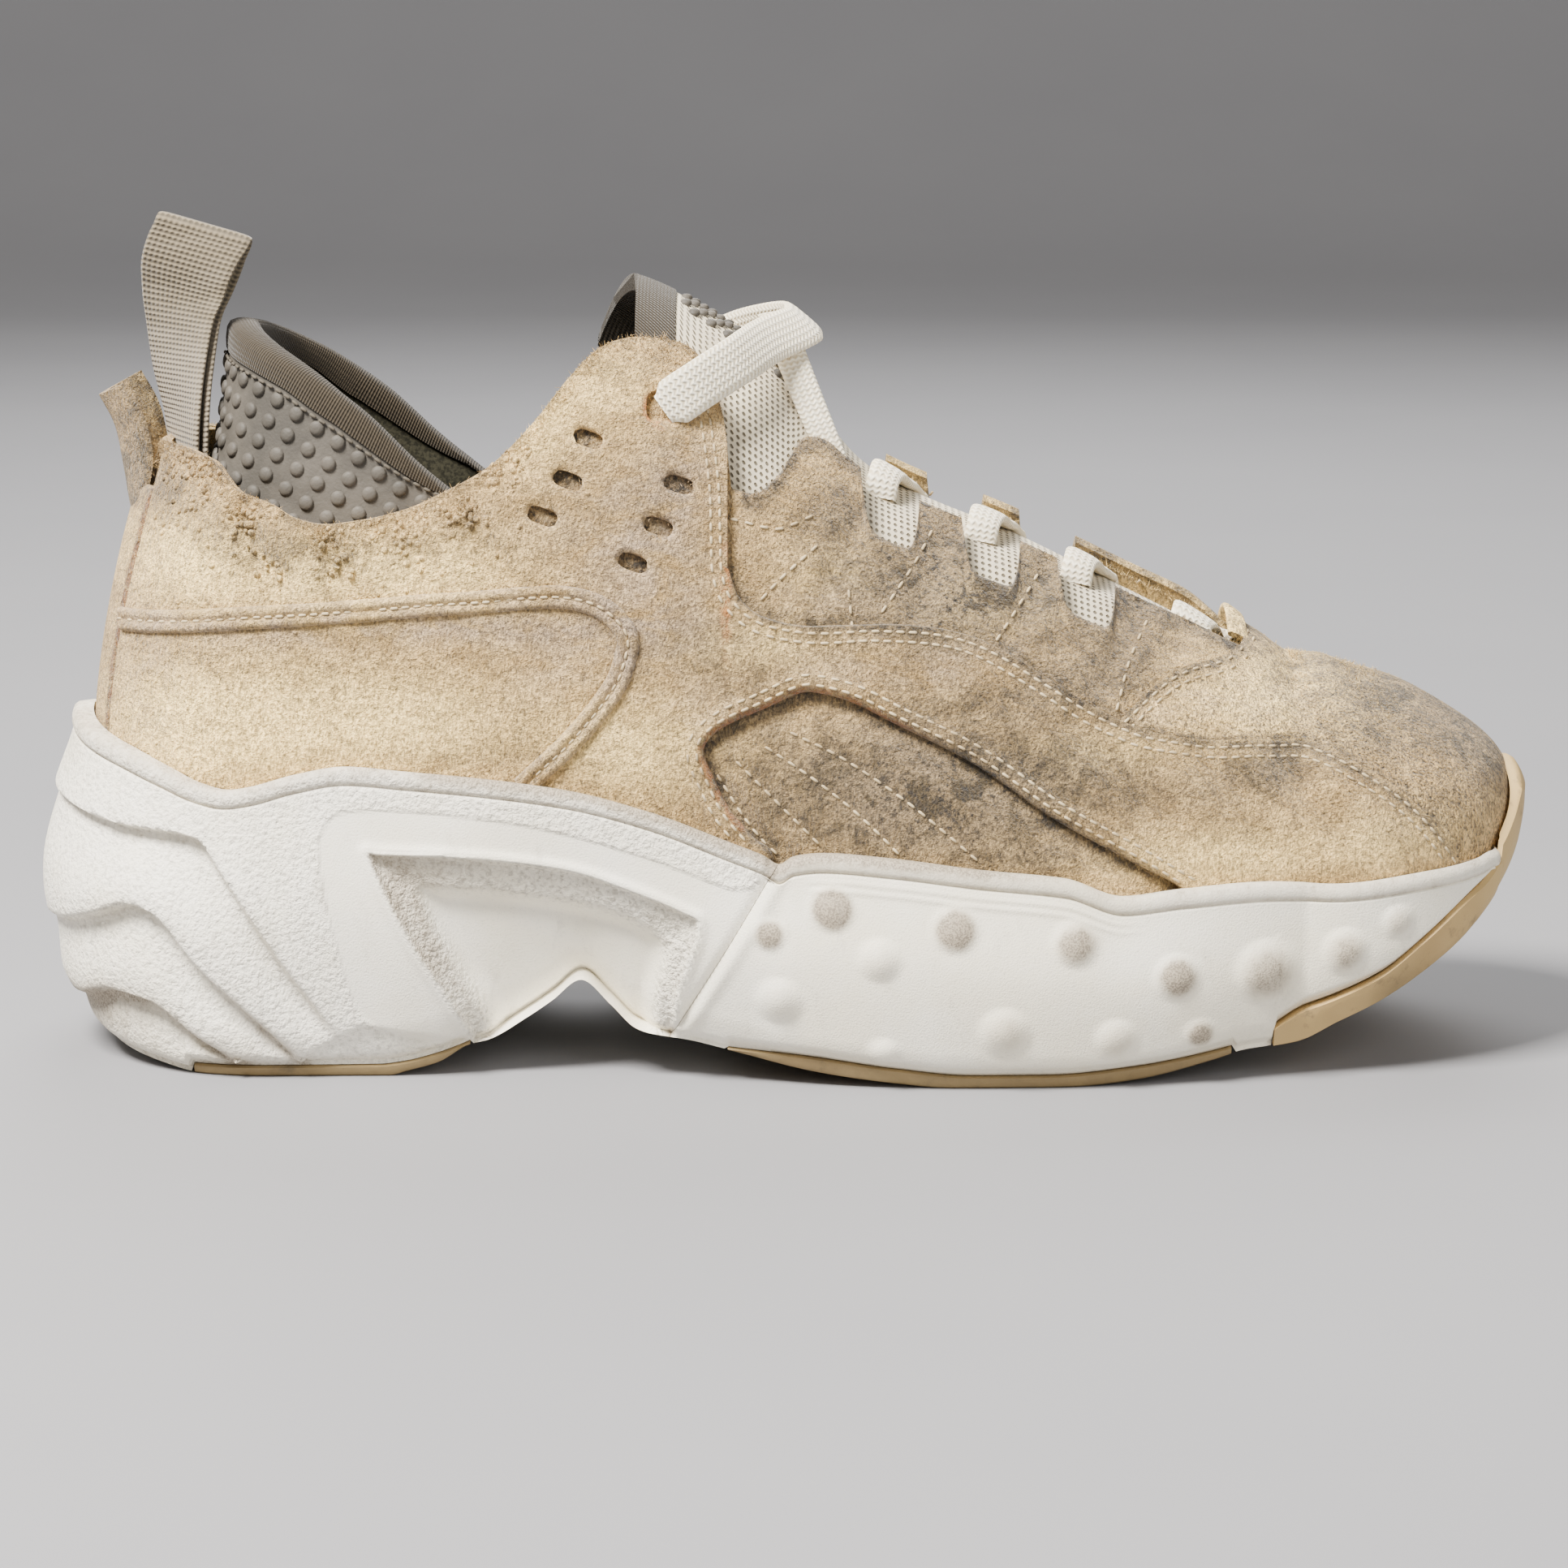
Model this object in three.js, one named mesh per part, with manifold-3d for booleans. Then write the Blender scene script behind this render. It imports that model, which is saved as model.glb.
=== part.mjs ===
// A worn low sneaker for the right foot: a suede upper on a thick sculpted sole.
// Millimetres. +X runs to the toe, +Y to the inner side of the foot, +Z up, and the floor is z = 0.
import * as THREE from "three";
import { mergeVertices } from "three/addons/utils/BufferGeometryUtils.js";
import Module from "manifold-3d";

const wasm = await Module();
wasm.setup();

// Driving dimensions
const WALL = 2.2; // suede and lining of the upper
const GAP = 0.35; // clearance between neighbouring pieces
const LIFT = 0.5; // clearance of the overlays above the wall
const QUARTER_THICK = 1.5;
const VAMP_THICK = 0.9;
const PIPING_THICK = 0.7;
const INSOLE_THICK = 4.5;
const TONGUE_THICK = 3;
const CUFF_THICK = 5;
const LACE_WIDTH = 10;
const LACE_GATHERED = 6.6; // width of a lace where it passes between two tabs
const LACE_THICK = 1.6;
const WEB_WIDTH = 20; // webbing of the pull loop
const WEB_THICK = 1.5;
const ROLL = 0.75; // length along the edge for one degree of the toe or heel fan
const REACH = 200; // half depth of a cutting prism
const LIP = 4; // height of the sole's rim band
const STEP = 0.8; // half height of a step between heel tiers
const ARCH_RECESS = 2.5;
const ARCH_SCOOP = 6.5;
const HEEL_STRIP_HALF = 16.5;
const THROAT_FRONT = 99.5;
const WING_FRONT = -10.5;
const WING_SHIFT = 15; // how much further forward the inner wing rises than the outer one
const LATERAL = -1;
const MEDIAL = 1;
const TOE_ROW = 3; // last row of the toe fan
const HEEL_ROW = 11; // first row of the heel fan
const LAST_ROW = 14;

// Tables
const named = (columns, rows) =>
  Object.fromEntries(columns.map((name, c) => [name, rows.map((row, r) => [r, row[c]])]));

// The form of the foot. Sections fan round the toe (turn 0 to 90 degrees) and the heel (90 to 180).
const LAST = named(
  ["x", "turn", "middle", "floor", "wallZ", "ridge", "drop", "lateral", "medial", "flare", "crown"],
  [
    [105, 0, 5, 38, 52, 78.5, 3.5, 41.5, 41.5, 12, 34],
    [105, 30, 5, 35, 51, 78.5, 3, 41.5, 43, 11, 33],
    [105, 60, 5, 32, 49, 78.5, 2, 40, 42, 9.5, 31],
    [105, 90, 5, 30, 48, 78.5, 0, 39, 40.5, 8, 30],
    [80, 90, 3, 27, 48, 95, 0, 43.5, 42, 6, 32],
    [50, 90, 1, 26, 52, 111, 0, 45.5, 43, 5, 34],
    [20, 90, 0, 28, 58, 124.5, 0, 43, 40, 5, 36],
    [-8, 90, 0, 31, 66, 150, 0, 40, 37, 6, 36],
    [-30, 90, 0, 34, 75, 162, 0, 38, 35.5, 7, 40],
    [-55, 90, 0, 37, 76, 167, 0, 35.5, 34.5, 6.5, 40],
    [-80, 90, 0, 39, 76, 168, 0, 34, 33.5, 5, 37],
    [-105, 90, 0, 40, 77, 166, 6, 33.5, 33.5, 5.5, 28],
    [-105, 120, 0, 40, 78, 166, 10, 33.5, 33.5, 6.5, 24],
    [-105, 150, 0, 40, 79.5, 166, 13, 34.5, 34.5, 7, 20],
    [-105, 180, 0, 40, 80, 166, 14, 35.5, 35.5, 7, 18],
  ],
);

// Half widths of the sole at the same sections, from its bottom edge up to the rim
const SOLE = named(
  ["base", "belly", "wide", "lip", "less"],
  [
    [48, 49.5, 50, 50, 0],
    [46, 47.5, 48.5, 48.7, -1.5],
    [44, 46, 47.3, 47.3, -2],
    [43.5, 45.5, 46.8, 46.2, -1.5],
    [47.5, 51, 52.5, 50.5, 1.5],
    [50, 53.5, 55, 51.5, 2.5],
    [49, 52.5, 54, 50.5, 3],
    [45, 48, 50, 48, 3],
    [41, 44.5, 46.5, 46.2, 2.5],
    [38.5, 42, 44.5, 44, 1],
    [39, 43, 44.8, 41.7, 0.5],
    [39.5, 43.5, 45, 41.3, 0],
    [39.5, 44, 46.5, 41.5, 0],
    [39, 45.5, 48.5, 42, 0],
    [38.5, 46.5, 49.8, 42.5, 0],
  ],
);

// Lines by length along the edge: [along, height]
const RIM = [
  [-172.5, 70.5], [-140, 66], [-128, 63], [-119, 60.2], [-113, 59.2], [-107, 60], [-98, 62.5],
  [-88, 64.2], [-76, 63.3], [-59, 62], [-43, 60], [-27, 56], [-11, 50], [-4, 47.3], [-1, 45.6],
  [2, 47.3], [8, 48], [22, 47], [38, 45], [56, 43], [68, 39.2], [80, 40.3], [95, 41], [111, 40.3],
  [128, 41.5], [143, 42.5], [149, 44], [155, 48.5], [161, 54], [167, 57.5], [172.5, 58.5],
];
const COLLAR = [
  [-172.5, 126], [-140, 126], [-122, 124], [-111, 118], [-103, 116], [-98, 113.2], [-92, 112],
  [-84, 113], [-76, 115], [-67, 119], [-59, 123.5], [-50, 132], [-42.5, 141], [-37, 146],
  [-33, 147.6], [-30, 148], [-22, 147], [-18, 145], [-15, 140], [-12, 132], [-10.5, 118],
];
const THROAT = [
  [-10.5, 31.5], [-6, 31], [-1, 28], [5, 20], [10, 17.5], [70, 17], [84, 15.5], [92, 13.5],
  [96, 10.5], [98.5, 6], [99.5, 0],
];
// Heel tiers: each line runs from the back down to the bottom edge
const TIERS = [
  [[-172.5, 55], [-150, 53], [-135, 51.5], [-124, 51], [-118, 50], [-113, 44], [-100, 24], [-90, 10], [-84, 0]],
  [[-172.5, 28], [-154, 29.5], [-140, 33], [-131, 36], [-126, 34.5], [-117, 24], [-101, 8], [-94, 0]],
  [[-172.5, 12], [-150, 14], [-138, 17], [-129, 16], [-117, 8], [-109, 3], [-105, 0]],
];

// Side profiles of the sole: [x, height]
const GROUND = [
  [-156, 16], [-150, 10], [-145, 6.3], [-137, 3], [-127, 1.2], [-118, 0], [-80, 0], [-77, 0.8], [-70, 2.8],
  [-64, 6.3], [-60, 7.3], [-52, 12], [-47, 15.5], [-41, 20], [-35, 15], [-30, 10.3], [-27, 9.3], [-19, 8.3],
  [-12, 6.9], [6, 3], [22, 1], [34, 0], [58, 0], [71, 1], [87, 4.4], [93, 6], [98, 6.5], [104, 7.2],
  [112, 11], [121, 15], [130, 20], [139, 26], [146, 33], [151, 39], [154, 46], [155, 50],
];
const TREAD_TOP = [
  [-124, 2.1], [-110, 2.2], [-82, 2.4], [-77, 3], [-70, 4.8], [-62, 8], [-50, 14], [-41, 21], [-30, 11],
  [-19, 8.3], [-11, 7.4], [6, 6], [22, 4], [38, 2.6], [54, 2.6], [71, 3.8], [87, 6.3], [95, 8.5],
  [99, 11], [104, 14], [112, 17], [121, 21], [129, 27], [138, 34], [144, 38], [147, 41],
];
const JOINT_LINE = [[-0.5, 47], [-23, 9]]; // slanted groove between the two foam blocks

// Side outlines of the overlays: [x, height]
const QUARTER_EDGE = [
  [-11.2, 160], [-11.2, 104], [-9, 98], [-4, 94], [6, 92], [18, 92], [30, 91], [38, 89], [46, 85], [54, 80],
  [62, 75], [68, 72], [73, 70], [83, 68], [94, 67], [106, 66], [117, 61], [126, 55], [132, 49], [137, 42],
];
const WINDOW = [
  [-2, 46], [-6, 50], [-11, 56], [-14, 62], [-16, 67], [-15, 70], [-11, 73], [-4, 76], [3, 79], [7, 79],
  [14, 77], [22, 73], [38, 65], [54, 54], [70, 45], [80, 39],
];
const VAMP_EDGE = [[67, 72], [73, 77], [78, 80], [83, 81.5], [88, 82], [93, 83], [96, 86], [98, 110]];
const PIPING_OUTER = [
  [-134, 92], [-108, 95], [-84, 97], [-59, 99], [-43, 100], [-35, 98], [-31, 95], [-29, 90], [-31, 83],
  [-35, 77], [-43, 67], [-51, 60],
];
const PIPING_INNER = [
  [-134, 88.5], [-108, 91], [-84, 93], [-59, 95.5], [-45, 96.5], [-38, 95.5], [-34, 92], [-33, 88], [-35, 81],
  [-43, 71], [-54, 60],
];
const ARCH_OUTLINE = [
  [-83, 46], [-80, 47], [-59, 46], [-43, 44], [-33, 41], [-20, 36], [-17, 33], [-21, 20], [-27, 4], [-60, 4],
  [-64, 10], [-69, 19], [-76, 31],
];
const SCOOP_OUTLINE = [
  [-74, 39], [-66, 40], [-53, 39], [-40, 37], [-30, 34], [-24, 30], [-23, 26], [-25, 18], [-29, 4], [-56, 4],
  [-61, 13], [-67, 23],
];
const NOTCHES = { centres: [61.5, 42, 21.5], width: 10.5, depth: 10 };
const PUNCHES = {
  centres: [[-39, 129], [-43, 121], [-48, 114], [-21, 120], [-25, 112], [-30, 105]],
  length: 6, height: 3, tilt: -0.35, sides: 8,
};
const TOP_EYELET = { centre: [-21, 136], radius: 2.6 };

// Leaning cuff, from the middle of the back (share 0) to the front end of each side (share 1)
const CUFF_FRONT = -61;
const CUFF = named(
  ["x", "y", "rim", "neckIn"],
  [
    [-111, 0, 150.5, 10.5],
    [-108.5, 10, 149, 9],
    [-103.5, 18, 146.5, 5.5],
    [-95, 24, 141.5, 3],
    [-84, 27.5, 134, 2],
    [-73, 29.5, 123.5, 1],
    [-62.5, 30, 114.5, 0.5],
  ],
);
const CUFF_ROWS = 6;

// Pull loop, up its middle line: x, height, turn of the width from X (degrees), lean of the width
const LOOP = named(
  ["x", "z", "turn", "lean"],
  [
    [-120, 121, 88, 0],
    [-121, 129, 80, 0],
    [-124, 140, 45, 0],
    [-124, 150, 22, -1],
    [-122.5, 158, 10, -4],
    [-118.5, 168.6, 4, -5.6],
  ],
);
const LOOP_ROWS = 5;

// Smooth curve through points [position, value], with no overshoot
function curveAt(points, at) {
  const end = points.length - 1;
  if (at <= points[0][0]) return points[0][1];
  if (at >= points[end][0]) return points[end][1];
  let k = 0;
  while (points[k + 1][0] < at) k += 1;
  const rise = (i) => (points[i + 1][1] - points[i][1]) / (points[i + 1][0] - points[i][0]);
  const tangent = (i) => {
    if (i === 0) return rise(0);
    if (i === end) return rise(end - 1);
    const before = rise(i - 1);
    const after = rise(i);
    return before * after <= 0 ? 0 : (2 * before * after) / (before + after);
  };
  const span = points[k + 1][0] - points[k][0];
  const s = (at - points[k][0]) / span;
  const value =
    points[k][1] * (1 + 2 * s) * (1 - s) ** 2 +
    points[k + 1][1] * s * s * (3 - 2 * s) +
    span * s * (1 - s) * (tangent(k) * (1 - s) - tangent(k + 1) * s);
  return value;
}

const rowAt = (table, row) =>
  Object.fromEntries(Object.entries(table).map(([name, points]) => [name, curveAt(points, row)]));

// Where a rising or falling function reaches a value between two limits
function solve(value, target, low, high) {
  const rising = value(high) > value(low);
  for (let i = 0; i < 40; i += 1) {
    const middle = (low + high) / 2;
    if (value(middle) < target === rising) low = middle;
    else high = middle;
  }
  return (low + high) / 2;
}

const alongAt = (row) => curveAt(LAST.x, row) + (90 - curveAt(LAST.turn, row)) * ROLL;
const rowFor = (along) => solve(alongAt, along, 0, LAST_ROW);
const spineRow = (row) => THREE.MathUtils.clamp(row, TOE_ROW, HEEL_ROW);

// One section of the foot: its origin, its direction and the four handles of its wall curve
function sectionAt(row, side) {
  const values = rowAt(LAST, row);
  const turn = THREE.MathUtils.degToRad(values.turn);
  const half = side === LATERAL ? values.lateral : values.medial;
  return {
    origin: new THREE.Vector2(values.x, values.middle),
    direction: new THREE.Vector2(Math.cos(turn), side * Math.sin(turn)),
    curve: new THREE.CubicBezierCurve(
      new THREE.Vector2(half, values.floor),
      new THREE.Vector2(half + values.flare, values.wallZ),
      new THREE.Vector2(values.crown, values.ridge - values.drop),
      new THREE.Vector2(0, values.ridge),
    ),
  };
}

const place = (section, r, z) =>
  new THREE.Vector3(
    section.origin.x + section.direction.x * r,
    section.origin.y + section.direction.y * r,
    z,
  );

// Point of a section's wall, moved outwards in its own plane
function wallPoint(section, t, offset) {
  const point = section.curve.getPoint(t);
  if (t >= 1) return place(section, 0, point.y + offset);
  const tangent = section.curve.getTangent(t);
  return place(section, point.x + tangent.y * offset, point.y - tangent.x * offset);
}

// Half width of the throat, with the notches between the lace tabs
function throatHalf(x) {
  let half = curveAt(THROAT, x);
  for (const centre of NOTCHES.centres) {
    const share = Math.abs(x - centre) / (NOTCHES.width / 2);
    if (share < 1) half += NOTCHES.depth * (1 - share ** 4);
  }
  return half;
}

// Height of the collar; the inner wing rises further forward than the outer one
function collarAt(along, side) {
  const outer = curveAt(COLLAR, along);
  if (side === LATERAL) return outer;
  return Math.min(outer, curveAt(COLLAR, along - WING_SHIFT * THREE.MathUtils.smoothstep(along, -95, -60)));
}

// Where the wall of a section ends: 1 is the closed ridge
function edgeOf(section, along, side) {
  if (along >= THROAT_FRONT) return 1;
  if (along > WING_FRONT) return solve((t) => section.curve.getPoint(t).x, throatHalf(along), 0.5, 1);
  return solve((t) => section.curve.getPoint(t).y, collarAt(along, side), 0.2, 0.98);
}

// Stations from the toe tip round the lateral side to the heel, and back on the medial side
const FAN_TOE = [172.5, 161, 149, 137, 124, 112];
const FAN_HEEL = [-116, -127, -140, -156, -172.5];
const STRAIGHT = [103, 90, 76, 52, 32, 10, -1, -22, -37, -50, -65, -84, -105];
const COLLAR_DETAIL = [-12, -16, -26, -32, -44, -57, -74, -94];
const THROAT_DETAIL = [99.5, 98.3, 96, 4, -10.4, -10.6];
const notchStations = NOTCHES.centres.flatMap((c) =>
  [-1, -0.8, 0, 0.8, 1].map((share) => c + (share * NOTCHES.width) / 2),
);
const falling = (a, b) => b - a;
const PANEL_ALONG = [...FAN_TOE, ...STRAIGHT, ...COLLAR_DETAIL, 99.5, 96, 64, 20, -10.6, ...FAN_HEEL].sort(falling);
const UPPER_ALONG = [...FAN_TOE, ...STRAIGHT, ...COLLAR_DETAIL, ...THROAT_DETAIL, ...notchStations, ...FAN_HEEL]
  .sort(falling);
const SOLE_ALONG = [...FAN_TOE, 167, 155, ...STRAIGHT, 66, 20, 3, -5, -12, -95, -110, -121, ...FAN_HEEL].sort(falling);

function stationsFor(alongs) {
  const lateral = alongs.map((along) => ({ along, row: rowFor(along), side: LATERAL }));
  const medial = alongs.slice(1, -1).map((along) => ({ along, row: rowFor(along), side: MEDIAL }));
  return [...lateral, ...medial.reverse()].map((station) => {
    const section = sectionAt(station.row, station.side);
    return { ...station, section, edge: edgeOf(section, station.along, station.side) };
  });
}

const upperStations = stationsFor(UPPER_ALONG);
const panelStations = stationsFor(PANEL_ALONG);
const soleStations = stationsFor(SOLE_ALONG);

// Building closed meshes

// Triangles between neighbouring rings of points, with flat ends dropped
function meshOf(points, quads) {
  const geometry = new THREE.BufferGeometry();
  geometry.setAttribute("position", new THREE.Float32BufferAttribute(points.flatMap((p) => p.toArray()), 3));
  geometry.setIndex(quads.flatMap(([a, b, c, d]) => [a, b, c, a, c, d]));
  return clean(geometry);
}

function clean(source) {
  const bare = source.clone();
  bare.deleteAttribute("normal");
  bare.deleteAttribute("uv");
  const merged = mergeVertices(bare, 1e-4);
  const index = merged.index.array;
  const kept = [];
  for (let i = 0; i < index.length; i += 3) {
    const [a, b, c] = [index[i], index[i + 1], index[i + 2]];
    if (a !== b && b !== c && c !== a) kept.push(a, b, c);
  }
  merged.setIndex(signedVolume(merged, kept) < 0 ? kept.reverse() : kept);
  return merged;
}

function signedVolume(geometry, index) {
  const position = geometry.attributes.position;
  const corner = [0, 1, 2].map(() => new THREE.Vector3());
  let volume = 0;
  for (let i = 0; i < index.length; i += 3) {
    corner.forEach((point, k) => point.fromBufferAttribute(position, index[i + k]));
    volume += corner[0].dot(corner[1].cross(corner[2]));
  }
  return volume;
}

// Profiles joined round the shoe; each profile runs from the spine to the spine, or closes on itself
function ringSolid(profiles, closes, skip = () => false) {
  const count = profiles.length;
  const size = profiles[0].length;
  const quads = [];
  for (let i = 0; i < count; i += 1) {
    const next = (i + 1) % count;
    for (let j = 0; j < (closes ? size : size - 1); j += 1) {
      if (skip(i, next, j)) continue;
      const up = (j + 1) % size;
      quads.push([i * size + j, next * size + j, next * size + up, i * size + up]);
    }
  }
  return meshOf(profiles.flat(), quads);
}

// Closed loops swept from end to end, with both ends capped by a fan
function sweepSolid(loops) {
  const size = loops[0].length;
  const points = loops.flat();
  const quads = [];
  for (let i = 0; i + 1 < loops.length; i += 1) {
    for (let j = 0; j < size; j += 1) {
      const up = (j + 1) % size;
      quads.push([i * size + j, (i + 1) * size + j, (i + 1) * size + up, i * size + up]);
    }
  }
  const cap = (start, flip) => {
    for (let j = 0; j < size / 2 - 1; j += 1) {
      const quad = [start + j, start + j + 1, start + size - 2 - j, start + size - 1 - j];
      quads.push(flip ? quad.reverse() : quad);
    }
  };
  cap(0, false);
  cap((loops.length - 1) * size, true);
  return meshOf(points, quads);
}

function toSolid(geometry) {
  const bare = clean(geometry);
  const vertProperties = new Float32Array(bare.attributes.position.array);
  const triVerts = new Uint32Array(bare.index.array);
  return new wasm.Manifold(new wasm.Mesh({ numProp: 3, vertProperties, triVerts }));
}

// Largest body of a solid as a geometry
function toGeometry(solid) {
  const bodies = solid.decompose().sort((a, b) => b.volume() - a.volume());
  const mesh = bodies[0].getMesh();
  const geometry = new THREE.BufferGeometry();
  geometry.setAttribute("position", new THREE.BufferAttribute(new Float32Array(mesh.vertProperties), 3));
  geometry.setIndex(new THREE.BufferAttribute(new Uint32Array(mesh.triVerts), 1));
  return geometry;
}

// Prism over a side outline, between two values of y
function sidePrism(outline, from = -REACH, to = REACH) {
  const shape = new THREE.Shape(outline.map(([x, z]) => new THREE.Vector2(x, z)));
  const geometry = new THREE.ExtrudeGeometry(shape, { depth: to - from, bevelEnabled: false });
  geometry.rotateX(Math.PI / 2).translate(0, to, 0);
  return toSolid(geometry);
}

const box = (x0, x1, y0, y1, z0, z1) => sidePrism([[x0, z0], [x1, z0], [x1, z1], [x0, z1]], y0, y1);

// Forms of the upper

const LOW_LEVELS = [0, 0.16, 0.36];
const SHOULDER = 0.52;
const levelsTo = (edge) => {
  const middle = Math.min(SHOULDER, (LOW_LEVELS.at(-1) + edge) / 2);
  return [...LOW_LEVELS, middle, (middle + edge) / 2, edge];
};

// Wall between two offsets, open at the throat, at the collar and underneath
function shell(inner, outer, stations) {
  const levels = levelsTo(1).length;
  const profiles = stations.map(({ section, edge }) => {
    const ts = levelsTo(edge);
    const outside = ts.map((t) => wallPoint(section, t, outer));
    const inside = ts.map((t) => wallPoint(section, t, inner));
    return [...outside, ...inside.reverse()];
  });
  const ridge = (i, next, j) => j === levels - 1 && stations[i].edge === 1 && stations[next].edge === 1;
  return ringSolid(profiles, true, ridge);
}

// Lower part of the foot form, closed across its top, used to hollow the sole
const FORM_TOP = 90;
function footForm(offset) {
  const profiles = soleStations.map(({ section, edge, row, side }) => {
    const spine = sectionAt(spineRow(row), side);
    const wall = levelsTo(edge).slice(0, LOW_LEVELS.length + 1).map((t) => wallPoint(section, t, offset));
    const bottom = place(spine, 0, spine.curve.v0.y - offset * 0.2);
    return [bottom, ...wall, place(spine, 0, FORM_TOP)];
  });
  return ringSolid(profiles, false);
}

// Forms of the sole

function soleRadius(row, side, share) {
  const values = rowAt(SOLE, row);
  const less = side === MEDIAL ? values.less : 0;
  const shape = [[0, values.base], [0.2, values.belly], [0.55, values.wide], [1, values.lip]];
  return curveAt(shape, share) - less;
}

// How far the heel tiers stand out: each one steps in under its line and swells out again below
function tierDepth(along, z, bottom) {
  const fade = THREE.MathUtils.smoothstep(-along, 84, 100);
  const lines = TIERS.map((line) => Math.max(curveAt(line, along), bottom));
  const above = lines.filter((line) => line > z);
  const below = lines.find((line) => line <= z) ?? bottom;
  if (above.length === 0) return fade * 0.8 * (1 - THREE.MathUtils.smoothstep(z - below, 0, 12));
  const top = above.at(-1);
  const share = (top - z) / Math.max(top - below, 0.01);
  return fade * THREE.MathUtils.lerp(-1.7, 0.8, THREE.MathUtils.smoothstep(share, 0, 0.8));
}

function soleProfile(station, inset) {
  const { along, row, side, section } = station;
  const spine = sectionAt(spineRow(row), side);
  const at = (r, z) => place(section, r - inset, z);
  const onGround = (r) => {
    const point = at(r, 0);
    point.z = curveAt(GROUND, point.x);
    return point;
  };
  const rim = curveAt(RIM, along);
  const base = soleRadius(row, side, 0);
  const edge = onGround(base);
  const bottom = edge.z + 2.2;
  const top = rim - LIP;
  const lines = TIERS.map((line) => THREE.MathUtils.clamp(curveAt(line, along), bottom, top));
  const heights = [bottom];
  for (const line of lines.reverse()) {
    const low = Math.max(line - STEP, heights.at(-1));
    heights.push((heights.at(-1) + low) / 2, low, line > bottom ? Math.max(line + STEP, low) : bottom);
  }
  heights.push(heights.at(-1) * 0.65 + top * 0.35, heights.at(-1) * 0.3 + top * 0.7);
  const wall = heights.map((z) => {
    const share = (z - edge.z) / (top - edge.z);
    return at(soleRadius(row, side, share) + tierDepth(along, z, bottom), z);
  });
  const lip = soleRadius(row, side, 1);
  const spineGround = place(spine, 0, curveAt(GROUND, spine.origin.x));
  const spineTop = place(spine, 0, curveAt(RIM, alongAt(spineRow(row))));
  return [
    spineGround, onGround(base * 0.5), onGround(base - 2.5), ...wall,
    at(lip - 0.5, top), at(lip, top + 0.6), at(lip, rim - 0.7), at(lip - 0.7, rim), at(lip - 3, rim), spineTop,
  ];
}

const soleHull = (inset) => toSolid(ringSolid(soleStations.map((s) => soleProfile(s, inset)), false));

// Side outline of everything above or below the line between foam and tread
const treadLine = (from, to, lift) => {
  const inner = TREAD_TOP.filter(([x]) => x > from && x < to);
  return [from, ...inner.map(([x]) => x), to].map((x) => [x, curveAt(TREAD_TOP, x) + lift]);
};
const belowTread = (from, to) => sidePrism([...treadLine(from, to, -GAP), [to, -5], [from, -5]]);

// The sole
const hull = soleHull(0);
const treadHull = soleHull(1);
const hollow = toSolid(footForm(LIFT + QUARTER_THICK + GAP));
const HEEL_TREAD = [-120, -63.5];
const FORE_TREAD = [-11.5, 90.5];
const TOE_TREAD = [99, 147.3];
const toeWrapSide = sidePrism([...treadLine(...TOE_TREAD, -GAP), [147.3, 90], [190, 90], [190, -5], [99, -5]]);
const arch = sidePrism(ARCH_OUTLINE).subtract(soleHull(ARCH_RECESS));
const scoop = sidePrism(SCOOP_OUTLINE).subtract(soleHull(ARCH_SCOOP));
const [jointTop, jointFoot] = JOINT_LINE;
const jointSlope = (jointTop[0] - jointFoot[0]) / (jointTop[1] - jointFoot[1]);
const jointX = (z, shift) => jointFoot[0] + (z - jointFoot[1]) * jointSlope + shift;
const rearSide = sidePrism([[jointX(-20, -GAP), -20], [jointX(120, -GAP), 120], [-250, 120], [-250, -20]]);
const frontSide = sidePrism([[jointX(-20, GAP), -20], [250, -20], [250, 120], [jointX(120, GAP), 120]]);
const treadCut = belowTread(HEEL_TREAD[0] - GAP, HEEL_TREAD[1] + GAP)
  .translate(0, 0, GAP)
  .add(belowTread(FORE_TREAD[0] - GAP, FORE_TREAD[1] + GAP).translate(0, 0, GAP))
  .add(toeWrapSide.translate(-GAP, 0, GAP));
const foam = hull.subtract(hollow).subtract(treadCut);
const midsoleHeel = foam.intersect(rearSide).subtract(arch).subtract(scoop);
const midsoleForefoot = foam.intersect(frontSide);
const outsoleHeel = treadHull.intersect(belowTread(...HEEL_TREAD));
const outsoleForefoot = treadHull.intersect(belowTread(...FORE_TREAD));
const toeWrap = hull.intersect(toeWrapSide).subtract(hollow);

// The insole lies on the foam inside the upper
function insoleSolid() {
  const profiles = soleStations.map(({ section, row, side }) => {
    const spine = sectionAt(spineRow(row), side);
    const inside = wallPoint(section, 0, -WALL - GAP);
    const outward = section.direction;
    const edge = (inset, lift) =>
      inside.clone().add(new THREE.Vector3(-outward.x * inset, -outward.y * inset, lift));
    const low = place(spine, 0, spine.curve.v0.y + GAP);
    const high = place(spine, 0, spine.curve.v0.y + GAP + INSOLE_THICK);
    return [low, edge(0.4, GAP), edge(0.4, GAP + INSOLE_THICK - 1), edge(1.4, GAP + INSOLE_THICK), high];
  });
  return ringSolid(profiles, false);
}

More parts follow.
